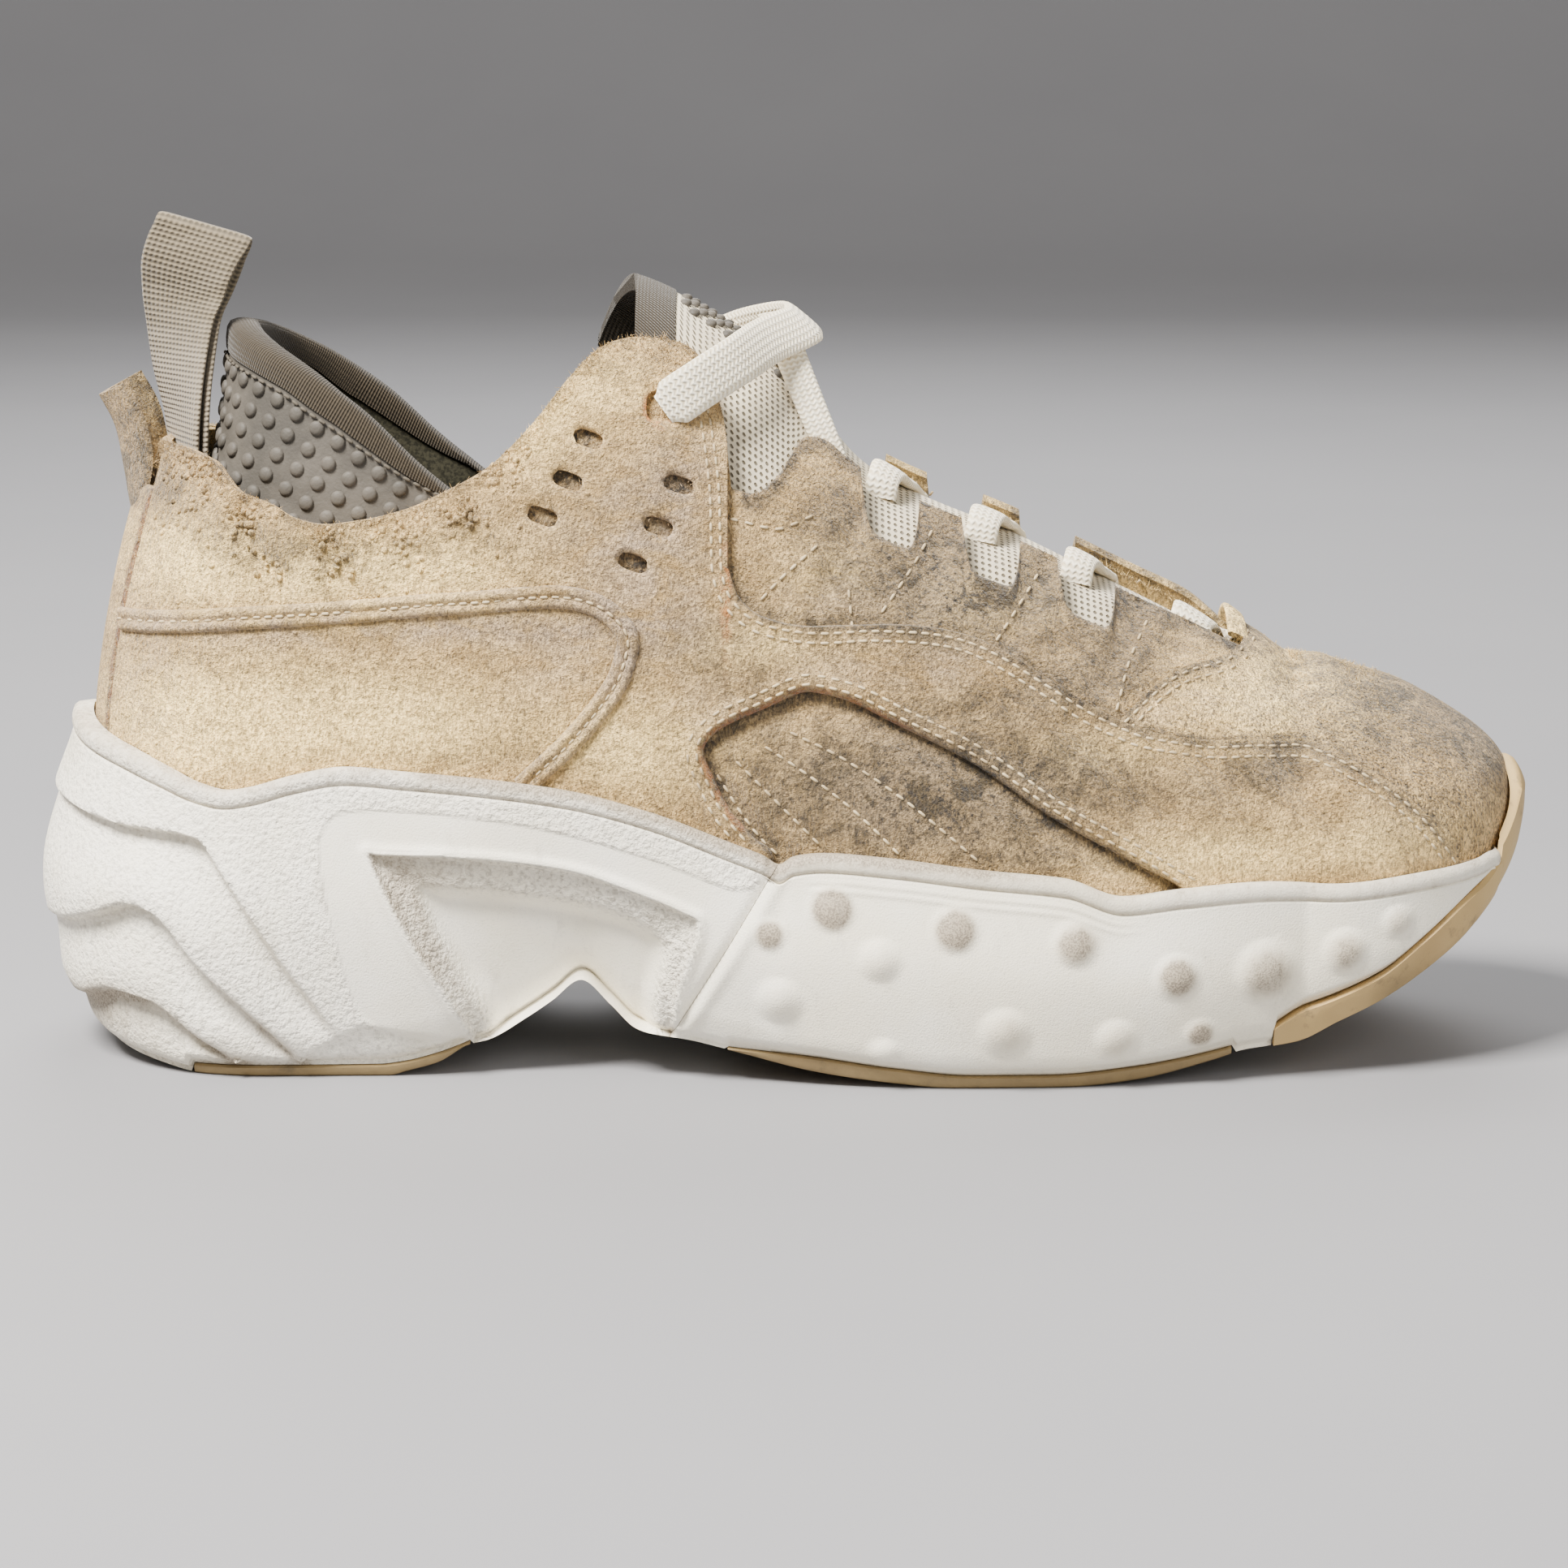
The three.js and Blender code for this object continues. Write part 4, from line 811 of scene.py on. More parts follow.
tone = (tread.ramp(0.45, 0.7) * 0.5).mix(tone, rgb(66, 62, 52))
dress(wire, shader, tone, 0.82 + 0.12 * weave, weave, 0.0003, 0.7)
faces = grid_faces(len(along), share.shape[1], wrap_count=True)
insole_piece = add_piece("insole_pad", points, faces, footbed, ["insole"])

# Suede upper
# The shell is one piece of soft split suede, open at the collar and at the lace throat, whose edge
# is cut into rough tabs. It is lasted under the foam's rim and lined with a dark olive cloth.
COLLAR = (
    (-172.5, 126), (-140, 126), (-122, 124), (-111, 118), (-103, 116), (-98, 113.2), (-92, 112), (-84, 113),
    (-76, 115), (-67, 119), (-59, 123.5), (-50, 132), (-42.5, 141), (-37, 146), (-33, 147.6), (-30, 148),
    (-22, 147), (-18, 145), (-15, 140), (-12, 132), (-10.5, 118),
)
THROAT = (
    (-10.5, 31.5), (-6, 31), (-1, 28), (5, 20), (10, 17.5), (70, 17), (84, 15.5), (92, 13.5), (96, 10.5),
    (98.5, 6), (99.5, 0),
)
NOTCH_CENTRES = (61.5, 42, 21.5)
NOTCH_HALF, NOTCH_DEPTH, MEDIAL_NOTCH_SHIFT = 6.0, 9.5, -6
WALL = 2.2
TUCK = 6
WING_FRONT, THROAT_FRONT = -10.5, 99.5
WING_SHIFT = 15
QUARTER_EDGE = (
    (-11.2, 104), (-9, 98), (-4, 94), (6, 92), (18, 92), (30, 91), (38, 89), (46, 85), (54, 80), (62, 75),
    (68, 72), (73, 70), (83, 68), (94, 67), (106, 66), (117, 61), (126, 55), (132, 49), (137, 42),
)
WINDOW_SHAPE = (
    (-2, 46), (-6, 50), (-11, 56), (-14, 62), (-16, 67), (-15, 70), (-11, 73), (-4, 76), (3, 79), (7, 79),
    (14, 77), (22, 73), (38, 65), (54, 54), (70, 45), (80, 39), (80, 30), (-2, 30),
)
WINDOW = round_outline(WINDOW_SHAPE, 4)
PUNCHES = ((-39, 129), (-43, 121), (-48, 114), (-21, 120), (-25, 112), (-30, 105))
PUNCH_LENGTH, PUNCH_HEIGHT, PUNCH_TILT = 6.0, 3.2, -0.35
EYELET, EYELET_RADIUS = (-24.5, 135), 2.9

# Rows of stitches that quilt the window and the tabs, in the side view
QUILT = (
    ((2, 71), (12, 66), (24, 58), (34, 50), (42, 43)), ((-3, 68), (6, 62), (16, 54), (28, 42)),
    ((-9, 65), (-2, 58), (6, 50), (14, 42)), ((-13, 62), (-8, 54), (-3, 48), (4, 42)),
    ((-4, 98), (0, 102), (6, 107)), ((13, 98), (13.6, 92)), ((20, 95), (26, 103), (31, 111)),
    ((43, 89), (51, 100)), ((67, 75), (70, 84), (75, 92)), ((-10, 113), (-6, 112), (-1, 111), (5, 113)),
)

# Soiling, for each mask: x, height, reach in x, reach in height, strength
SOIL = {
    "grime_and_shade": (
        (146, 64, 9, 10, 0.9), (132, 74, 18, 8, 0.55), (112, 82, 20, 7, 0.5), (96, 88, 10, 5, 0.6),
        (118, 66, 22, 5, 0.2), (98, 62, 8, 4, 0.7), (104, 50, 26, 5, 0.2), (128, 52, 10, 7, 0.3),
        (92, 57, 34, 10, 0.1), (80, 58, 18, 5, 0.35), (60, 64, 16, 5, 0.35), (46, 77, 18, 5, 0.35),
        (66, 97, 8, 6, 0.7), (52, 104, 8, 6, 0.7), (30, 112, 8, 5, 0.6), (10, 114, 8, 6, 0.7),
        (68, 84, 10, 7, 0.65), (84, 92, 8, 4, 0.5), (36, 100, 14, 9, 0.8), (26, 59, 34, 15, 1.2),
        (35, 56, 6, 5, 0.45), (52, 46, 14, 3.5, 0.45), (50, 95, 32, 11, 0.55), (20, 103, 20, 11, 0.55),
        (60, 78, 18, 8, 0.2), (4, 84, 16, 5, 0.25), (124, 72, 30, 12, 0.32), (-16, 88, 18, 12, 0.3),
        (-126, 118, 9, 7, 0.65), (-112, 109, 10, 7, 0.5), (-96, 105, 12, 7, 0.48),
        (-80, 106, 12, 6, 0.42), (-62, 112, 10, 6, 0.36), (-34, 118, 24, 18, 0.32),
        (-28, 143, 12, 4, 0.35), (-60, 91, 40, 3, 0.2), (-6, 70, 10, 14, 0.18), (-108, 86, 22, 2.5, 0.22),
        (-76, 66, 30, 2, 0.25),
    ),
    "lilac": (
        (-62, 92, 30, 3, 0.7), (-100, 90, 26, 3, 0.5), (-30, 112, 14, 10, 0.8), (-26, 94, 12, 12, 0.7),
        (-20, 122, 8, 8, 0.6), (18, 96, 26, 9, 0.5), (30, 84, 20, 4, 0.5), (-14, 74, 10, 8, 0.4),
        (92, 74, 22, 5, 0.4), (24, 60, 24, 12, 0.55), (-128, 78, 6, 14, 0.4), (-44, 86, 12, 8, 0.4),
    ),
    "warm": (
        (-108, 74, 22, 10, 1.0), (-78, 72, 20, 9, 0.9), (-120, 104, 12, 8, 0.9), (-94, 102, 20, 7, 0.8),
        (-70, 104, 16, 7, 0.7), (-50, 132, 8, 8, 0.7), (-36, 140, 10, 6, 0.5), (-30, 68, 18, 9, 0.7),
        (-4, 89, 14, 4, 0.6), (60, 67, 14, 4, 0.5), (88, 46, 20, 5, 0.7), (124, 48, 12, 6, 0.6),
        (40, 96, 14, 6, 0.5), (10, 102, 10, 6, 0.4), (104, 76, 20, 8, 1.0), (-120, 68, 14, 8, 0.8),
    ),
}


def nearest_on_outline(outline, x, z):
    """Signed distance to a closed outline, negative inside, with the nearest point on it."""
    points = np.asarray(outline, float)
    best = np.full(np.shape(x), 1e9)
    near_x, near_z = np.array(x, float), np.array(z, float)
    for start, end in zip(points, np.roll(points, -1, axis=0)):
        at_x, at_z = nearest_on(start, end, x, z)
        gap = np.hypot(x - at_x, z - at_z)
        closer = gap < best
        best = np.where(closer, gap, best)
        near_x, near_z = np.where(closer, at_x, near_x), np.where(closer, at_z, near_z)
    return np.where(outline_distance(outline, x, z) < 0, -best, best), near_x, near_z


def trim(x, z, faces, outline, snap):
    """Cuts faces away inside an outline and pulls the ragged edge onto it."""
    gap, near_x, near_z = nearest_on_outline(outline, x, z)
    gone = gap < snap
    faces = faces[~gone[faces].all(axis=1)]
    used = np.zeros(len(x), bool)
    used[faces.ravel()] = True
    move = gone & used
    return np.where(move, near_x, x), np.where(move, near_z, z), faces


def shell(make, faces, low, high, rounding=0.35):
    """A closed sheet between two offsets, with merged seams and eased edges.

    Gives points, faces and, for each point, the grid vertex it came from and whether it is inside."""
    surface = make(high)
    keys = np.round(surface / 0.004).astype(np.int64)
    _, first, merged = np.unique(keys, axis=0, return_index=True, return_inverse=True)
    faces = merged.reshape(-1)[faces]
    faces = faces[(np.diff(np.sort(faces, axis=1), axis=1) > 0).sum(axis=1) > 1]
    edges = np.concatenate([faces[:, [k, (k + 1) % 4]] for k in range(4)])
    edges = edges[edges[:, 0] != edges[:, 1]]
    count = len(first)
    codes = edges[:, 0] * count + edges[:, 1]
    lone = ~np.isin(codes, edges[:, 1] * count + edges[:, 0])
    border = edges[lone]
    lift = np.full(len(surface), high, float) if np.ndim(high) == 0 else np.array(high, float)
    bottom = np.full(len(surface), low, float) if np.ndim(low) == 0 else np.array(low, float)
    at_edge = np.zeros(count, bool)
    at_edge[border.ravel()] = True
    lift[first[at_edge]] -= rounding * (lift - bottom)[first[at_edge]]
    points = np.concatenate([make(lift)[first], make(bottom)[first]])
    walls = np.stack([border[:, 1], border[:, 0], border[:, 0] + count, border[:, 1] + count], axis=1)
    polygons = np.concatenate([faces, faces[:, ::-1] + count, walls]).tolist()
    clean = []
    for polygon in polygons:
        kept = [v for k, v in enumerate(polygon) if v != polygon[k - 1]]
        if len(set(kept)) > 2:
            clean.append(kept)
    used = np.zeros(2 * count, bool)
    used[[v for polygon in clean for v in polygon]] = True
    renumber = np.cumsum(used) - 1
    clean = [[int(renumber[v]) for v in polygon] for polygon in clean]
    return points[used], clean, np.concatenate([first, first])[used], np.repeat([0.0, 1.0], count)[used]


def soil_masks(points, edge=0.0, inside=0.0):
    """Grime, lilac and warm stains at points of the suede, with more darkening along edges: grime, and
    painted shade at panel steps.
    """
    x, y, z = np.moveaxis(points, -1, 0)
    masks = {"inside": inside}
    for name, spots in SOIL.items():
        masks[name] = np.zeros(x.shape)
        for spot_x, spot_z, reach_x, reach_z, strength in spots:
            masks[name] += strength * np.exp(-((x - spot_x) / reach_x) ** 2 - ((z - spot_z) / reach_z) ** 2)
    masks["grime_and_shade"] = masks["grime_and_shade"] * (1 - 0.5 * ease(y, -2, 14)) + edge
    masks["warm"] += 0.5 * ease(y, 4, 14)
    return {name: np.clip(values, 0, 1.3) for name, values in masks.items()}


def suede_material(name, pile):
    """Split suede: mottled beige, brushed lighter and darker, soiled and darkened with painted shade where
    the masks say.
    """
    gloss = {"Specular_IOR_Level": 0.12, "Sheen_Weight": 0.25, "Sheen_Roughness": 0.6}
    material, wire, shader = new_material(name, **gloss)
    brush = wire.noise(95.0, 5.0, 0.62, stretch=(1.0, 1.0, 1.7), warp=0.6)
    mottle = wire.noise(340.0, 4.0, 0.65, warp=0.4)
    tuft = wire.noise(760.0, 3.0, 0.7, warp=0.3)
    nap = wire.noise(1500.0, 3.0, 0.7)
    hair = wire.noise(2300.0, 2.0, 0.6, stretch=(1.0, 1.0, 0.4), warp=0.5)
    cloud = wire.noise(22.0, 3.0, 0.5)
    grime_and_shade, lilac, warm = wire.mask("grime_and_shade"), wire.mask("lilac"), wire.mask("warm")
    tone = brush.ramp(0.34, 0.66).mix(rgb(149, 121, 76), rgb(192, 160, 107))
    tone = (warm * cloud.ramp(0.2, 0.5)).mix(tone, rgb(252, 217, 141))
    tone = (lilac * brush.ramp(0.34, 0.6)).mix(tone, rgb(154, 134, 112))
    tone = (mottle.ramp(0.42, 0.76) * 0.5).mix(tone, rgb(134, 106, 66))
    # The grime mask carries painted shade as well as grime: along panel steps, in the punched slots and over
    # the heel tab.
    stain = (grime_and_shade * (0.3 + 0.6 * mottle + 0.5 * brush)).ramp(0.06, 0.8)
    tone = (stain * 0.7).mix(tone, rgb(98, 84, 62))
    smudge = grime_and_shade * wire.noise(130.0, 6.0, 0.72, warp=0.8).ramp(0.49, 0.58)
    tone = (smudge * 0.9).mix(tone, rgb(70, 58, 37))
    spot = (grime_and_shade * tuft.ramp(0.45, 0.6) * mottle.ramp(0.38, 0.58)) * 0.85
    tone = spot.mix(tone, rgb(50, 43, 34))
    fleck = nap.ramp(0.36, 0.66, -0.2, 0.36) + hair.ramp(0.37, 0.65, -0.24, 0.52)
    fleck = fleck + tuft.ramp(0.36, 0.66, -0.14, 0.26) + cloud.ramp(0.3, 0.7, -0.12, 0.12)
    tone = wire.node("ShaderNodeHueSaturation", inputs={"Value": 1.0 + pile * fleck, "Color": tone})
    glue = wire.mask("glue") * mottle.ramp(0.38, 0.58)
    tone = glue.mix(tone, rgb(176, 106, 42))
    lining = wire.mask("inside")
    tone = lining.mix(tone, (mottle.ramp(0.3, 0.7)).mix(rgb(74, 71, 56), rgb(98, 93, 76)))
    height = 0.45 * mottle + 0.7 * tuft + 0.7 * nap + 0.35 * hair + 0.35 * brush
    dress(wire, shader, tone, 0.9 + 0.08 * nap, height, 0.0016, 0.95)
    return material


# Creases, in the side view: from, to, depth, half width
CREASES = (
    ((-30, 100), (-17, 74), 0.5, 3.5), ((0, 89), (15, 84), 0.4, 2.5), ((58, 72), (77, 54), 0.5, 3.5),
    ((86, 66), (96, 48), 0.5, 3.5), ((101, 64), (112, 50), 0.45, 3.0), ((8, 98), (16, 114), 0.6, 2.2),
    ((27, 95), (34, 110), 0.6, 2.2), ((46, 89), (54, 103), 0.7, 2.2), ((64, 80), (72, 94), 0.7, 2.4),
    ((78, 84), (86, 92), 0.5, 2.4), ((104, 78), (110, 66), 0.4, 3.0), ((118, 76), (128, 62), 0.4, 3.0),
    ((-92, 108), (-84, 96), 0.6, 3.0), ((-64, 114), (-56, 100), 0.6, 3.0),
    ((-110, 112), (-102, 100), 0.5, 3.0),
)


def line_distance(curve, x, z):
    """Distance to an open line in the side view."""
    nearest = np.full(np.shape(x), 1e9)
    for start, end in zip(curve, curve[1:]):
        near_x, near_z = nearest_on(start, end, x, z)
        nearest = np.minimum(nearest, np.hypot(x - near_x, z - near_z))
    return nearest


def crease_relief(x, z):
    """Dents and the swelling beside them."""
    relief = np.zeros(np.shape(x))
    for start, end, depth, half in CREASES:
        gap = line_distance((start, end), x, z)
        relief += depth * (0.55 * bell(gap - 2 * half, half) - bell(gap, half))
    return relief


def window_padding(x, z):
    """The soft padding that swells in the window and dips along its quilting."""
    gap = -outline_distance(WINDOW, x, z)
    padding = 1.5 * ease(gap, 1.0, 8.0)
    for line in QUILT[:4]:
        padding = padding - 0.6 * bell(line_distance(line, x, z), 1.4) * (gap > 0)
    return padding


def throat_half(x, side):
    """Half width of the throat with its notches, which sit further back on the inner side."""
    half = smooth(THROAT, x)
    shift = np.where(np.asarray(side) < 0, 0.0, MEDIAL_NOTCH_SHIFT)
    for centre in NOTCH_CENTRES:
        share = np.clip(np.abs(x - centre - shift) / NOTCH_HALF, 0, 1)
        half = half + NOTCH_DEPTH * (1 - share ** 7)
    return half


def collar_at(along, side):
    """Height of the collar; the inner wing rises further forward than the outer one."""
    outer = smooth(COLLAR, along)
    inner = smooth(COLLAR, along - WING_SHIFT * ease(along, -95, -60))
    return np.where(np.asarray(side) < 0, outer, np.minimum(outer, inner))


def upper_top(foot):
    """Where each section of the upper ends: at the collar, at the throat or on the ridge."""
    collar = foot.t_at(collar_at(foot.along, foot.side))
    throat = foot.t_at(throat_half(foot.along, foot.side), height=False, low=0.35)
    top = np.where(foot.along < WING_FRONT, collar, throat)
    return np.where(foot.along > THROAT_FRONT, 1.0, top)


def upper_grid(along, side, levels):
    """Wall places, stations, sides and levels of a grid from the tucked edge to the top."""
    foot = Foot(along[:, None], side[:, None])
    low = foot.t_at(smooth(RIM, foot.along) - TUCK)
    t = low + (upper_top(foot) - low) * levels[None, :]
    grid = np.broadcast_arrays(along[:, None], side[:, None], levels[None, :])
    return t.reshape(-1), *(values.reshape(-1) for values in grid)


notch_stations = np.concatenate([
    centre + shift + sign * NOTCH_HALF * np.array([0.55, 0.7, 0.8, 0.87, 0.92, 0.96, 0.985, 1.0])
    for centre in NOTCH_CENTRES for sign in (-1, 1) for shift in (0, MEDIAL_NOTCH_SHIFT)
])
upper_along = np.unique(np.round(np.concatenate([
    np.linspace(TIP, FAN, 48), np.linspace(FAN, 70, 30), np.linspace(70, WING_FRONT, 58), notch_stations,
    np.linspace(THROAT_FRONT, 96, 9), np.linspace(WING_FRONT, -20, 16), np.linspace(-20, -FAN, 64),
    np.linspace(-FAN, -TIP, 40),
]), 3))[::-1]
along, side = round_trip(upper_along)
UPPER_LEVELS = np.concatenate([np.linspace(0, 0.9, 46), np.linspace(0.92, 1, 8)])
faces = grid_faces(len(along), len(UPPER_LEVELS), wrap_count=True)
upper_t, station, side, level = upper_grid(along, side, UPPER_LEVELS)
foot = Foot(station, side)
flat = foot.wall(upper_t, 0.0)
relief = crease_relief(flat[:, 0], flat[:, 2]) + window_padding(flat[:, 0], flat[:, 2])
relief = np.where(level < 0.985, relief, 0.0)
curl = np.where(side < 0, 0.7, 3.6) * ease(level, 0.88, 1.0)
curl = curl * ease(station, 0, 10) * (1 - ease(station, 84, 96))
points, polygons, source, inside = shell(
    lambda offset: foot.wall(upper_t, offset), faces, curl - WALL, relief + curl)
level, station = level[source], station[source]
# Darker along the tops of the tabs, more on the outer side; painted shade in the step above the quarter's
# edge and just inside the window's edge.
edge_soil_and_shade = np.where(side[source] < 0, 1.6, 0.3) * ease(level, 0.92, 1.0) * ((station > -9) & (station < 96))
edge_soil_and_shade += 0.8 * bell(line_distance(QUARTER_EDGE, points[:, 0], points[:, 2]), 1.5)
window_gap = outline_distance(WINDOW, points[:, 0], points[:, 2])
edge_soil_and_shade += 0.7 * bell(window_gap + 0.6, 1.3)
folded = inside * (1 - ease(level, 0.9, 0.97) * (station < -11))
folded = folded * (1 - ease(level, 0.7, 0.8) * (station > -9))
masks = soil_masks(points, edge_soil_and_shade, folded)
# Painted shade: the upper seen through the punched slots is darkened.
punch_shade = np.zeros(len(points))
for punch_x, punch_z in PUNCHES:
    punch_shade += np.hypot(points[:, 0] - punch_x, points[:, 2] - punch_z) < 5
masks["grime_and_shade"] = np.clip(masks["grime_and_shade"] + punch_shade, 0, 1.3)
suede_upper = suede_material("suede_upper", 1.0)
add_piece("upper_shell", points, polygons, suede_upper, ["upper"], masks)

# Side quarters
# A second layer of suede wraps each side from the heel to the toe, with six punched slots and a lace
# hole in its wing and a long window cut over the ball of the foot. It is sewn down with two rows.
QUARTER_LOW, QUARTER_HIGH = 0.05, 2.0
PIPING_CURVE = (
    (-133, 90.2), (-121, 91.6), (-108, 93), (-96, 94), (-84, 95), (-72, 96.2), (-59, 97.2), (-51, 98),
    (-44, 98.2), (-38, 97), (-34, 94.5), (-31.5, 91.5), (-31, 89), (-31.8, 85.5), (-33, 82), (-37, 76),
    (-43, 69), (-48, 64.2), (-52.5, 60),
)
STRIP_HALF = 16.5


def on_side(along, z, side, offset):
    """Points on the foot's wall at a height, standing off it by an offset."""
    foot = Foot(along, side)
    return foot.wall(foot.t_at(z, high=0.995), offset)


def along_for(x, z, side):
    """The length along the edge of a point given by its side view."""
    ends = (np.full(np.shape(x), end) for end in (-TIP, TIP))
    return halve(*ends, 28, lambda along: on_side(along, z, side, 0.0)[..., 0] < x)


def punch_outline(centre, length, height, tilt, steps=20):
    """Outline of a punched slot with squared ends, or of a round hole."""
    turn = np.linspace(0, 2 * math.pi, steps, endpoint=False)
    a, b = np.cos(turn) * length / 2, np.sin(turn) * height / 2
    squared = 0.16 * np.sin(2 * turn) ** 2
    a, b = a * (1 + squared), b * (1 + squared)
    xs = centre[0] + a * math.cos(tilt) - b * math.sin(tilt)
    return np.stack([xs, centre[1] + a * math.sin(tilt) + b * math.cos(tilt)], axis=1)


def quarter_edge_at(along, side):
    """Height of the quarter's upper edge, given in the side view."""
    z = np.full(np.shape(along), 60.0)
    for _ in range(6):
        x = np.where(np.abs(along) < FAN, along, on_side(along, z, side, 1.0)[..., 0])
        z = smooth(QUARTER_EDGE, x)
    return np.where(along < -11.2, collar_at(along, side) - 0.1, z)


def strip_along(z, y):
    """The length along the heel where the wall is this far to the side."""
    ends = (np.full(np.shape(z), float(end)) for end in (-TIP, -FAN))
    return halve(*ends, 28, lambda along: np.abs(on_side(along, z, LATERAL, 1.0)[..., 1]) < y)


def window_roll(x, z):
    """The rolled edge round the window."""
    return 0.7 * bell(outline_distance(WINDOW, x, z) - 2.2, 1.6)


def quarter(side, step):
    """Points, faces and masks of one side's panel, with its window, slots and lace hole cut out."""
    lower = np.concatenate([np.linspace(0, 0.985, int(48 / step)), [0.993, 1.0]])[None, :]
    upper = np.concatenate([np.linspace(0, 0.985, int(40 / step))[1:], [0.993, 1.0]])[None, :]

    def rise(low, high):
        """Heights up a column, shared by the wing and the low front as far as the wing's foot."""
        shoulder = np.minimum(high, QUARTER_EDGE[0][1])
        return np.concatenate([low + (shoulder - low) * lower, shoulder + (high - shoulder) * upper], axis=1)

    fore = np.concatenate([[151.5, 150, 148, 145.5, 142.5], np.linspace(140, -11.1, int(150 / step))])
    rear = np.concatenate([[-11.3], np.linspace(-12, -FAN, int(93 / step))])
    back = np.linspace(0, 1, int(48 / step))[1:]
    along = np.concatenate([fore, rear])[:, None]
    low = smooth(RIM, along) - TUCK
    high = np.maximum(quarter_edge_at(along, side), low + 0.05)
    z = rise(low, high)
    back_z = rise(np.array([[64.0 - TUCK]]), np.array([[118.0]]))
    end = strip_along(back_z, STRIP_HALF + 0.35)
    back_along = -FAN + (end + FAN) * back[:, None]
    back_low, back_high = smooth(RIM, back_along[:, :1]) - TUCK, collar_at(back_along[:, -1:], side) - 0.1
    back_z = rise(back_low, back_high)
    along = np.concatenate([along + np.zeros(z.shape), back_along])
    z = np.concatenate([z, back_z])
    faces = grid_faces(*along.shape)
    x, z = along.reshape(-1), z.reshape(-1)
    x, z, faces = trim(x, z, faces, WINDOW, 0.3 * step)
    for punch in PUNCHES if side == LATERAL else PUNCHES[1:]:
        outline = punch_outline(punch, PUNCH_LENGTH, PUNCH_HEIGHT, PUNCH_TILT)
        x, z, faces = trim(x, z, faces, outline, 0.5 * step)
    eyelet = punch_outline(EYELET, 2 * EYELET_RADIUS, 2 * EYELET_RADIUS, 0.0)
    x, z, faces = trim(x, z, faces, eyelet, 0.5 * step)
    foot = Foot(x, side)
    t = foot.t_at(z, high=0.995)
    lift = QUARTER_HIGH + crease_relief(x, z) + window_roll(x, z)
    points, polygons, source, _ = shell(lambda offset: foot.wall(t, offset), faces, QUARTER_LOW, lift)
    gap = outline_distance(WINDOW, points[:, 0], points[:, 2])
    collar_gap = collar_at(x[source], side) - z[source]
    # Darker along the collar edge, the window's cut edge and either side of the piping; the band along the
    # quarter's top edge is painted shade at its step.
    edge = 0.35 * bell(collar_gap, 2.0) * (x[source] < -11) + 0.5 * bell(gap, 0.8)
    edge += 0.6 * bell(line_distance(QUARTER_EDGE, points[:, 0], points[:, 2]), 0.7)
    edge += 0.3 * bell(line_distance(PIPING_CURVE, points[:, 0], points[:, 2]), 3.2)
    masks = soil_masks(points, edge)
    rim_glue = bell(gap - 0.3, 0.8) * (points[:, 2] > 52) * (1 - ease(points[:, 0], 14, 34))
    masks["glue"] = 0.7 * rim_glue
    wing = np.hypot((points[:, 0] + 11.5) / 0.8, (points[:, 2] - 99) / 9)
    masks["glue"] += np.exp(-wing ** 2)
    hole = np.hypot(points[:, 0] - EYELET[0], points[:, 2] - EYELET[1])
    masks["glue"] += bell(hole - EYELET_RADIUS, 0.6)
    return points, polygons, masks


suede_quarter = suede_material("suede_quarter", 1.0)
for name, side, step in (("quarter_lateral", LATERAL, 0.9), ("quarter_medial", MEDIAL, 1.3)):
    points, polygons, masks = quarter(side, step)
    add_piece(name + "_panel", points, polygons, suede_quarter, [name], masks)

# Raised piping
# A narrow strip of suede is folded double and sewn on in a loop round the lower heel panel; it
# stands about a millimetre proud of the quarter, and its back end meets the heel strip.
PIPING_HALF = 2.3


def path_length(line):
    """Length along a line from its start to each of its points."""
    return np.concatenate([[0], np.cumsum(np.linalg.norm(np.diff(line, axis=0), axis=1))])


def open_spline(points, steps):
    """A spline through points, from the first one to the last."""
    ends = np.concatenate([[2 * points[0] - points[1]], points, [2 * points[-1] - points[-2]]])
    shares = np.arange(steps)[:, None] / steps
    made = [spline(*four, shares) for four in zip(ends, ends[1:], ends[2:], ends[3:])]
    return np.concatenate(made + [points[-1:]])


def resample(curve, step):
    """Points at even spacing along a smooth curve in the side view, with unit tangents."""
    fine = open_spline(np.asarray(curve, float), 24)
    lengths = path_length(fine)
    at = np.linspace(0, lengths[-1], max(int(lengths[-1] / step), 2) + 1)
    points = np.stack([np.interp(at, lengths, fine[:, 0]), np.interp(at, lengths, fine[:, 1])], axis=1)
    tangent = np.gradient(points, axis=0)
    tangent /= np.maximum(np.hypot(*tangent.T), 1e-9)[:, None]
    return points, tangent


def ribbon(curve, side, half, profile, step=1.2):
    """A strip laid along a side-view curve. Profile rows: share of the half width, stand-off."""
    points, tangent = resample(curve, step)
    normal = np.stack([-tangent[:, 1], tangent[:, 0]], axis=1)
    share, offset = np.array(profile).T[:, None, :]
    x = points[:, :1] + normal[:, :1] * half * share
    z = points[:, 1:] + normal[:, 1:] * half * share
    return on_side(along_for(x, z, side), z, side, offset)


PIPING_PROFILE = (
    (-1.0, 1.9), (-1.0, 2.2), (-0.85, 2.85), (-0.55, 3.2), (-0.25, 3.0), (-0.08, 2.6),
    (0.08, 2.6), (0.25, 3.0), (0.55, 3.2), (0.85, 2.85), (1.0, 2.2), (1.0, 1.9),
)
for name, side in (("piping_lateral", LATERAL), ("piping_medial", MEDIAL)):
    loops = ribbon(PIPING_CURVE, side, PIPING_HALF, PIPING_PROFILE)
    masks = soil_masks(loops, 0.12)
    masks["lilac"] = np.clip(masks["lilac"] + 0.4, 0, 1)
    add_loft(name + "_strip", loops, suede_quarter, name, masks)

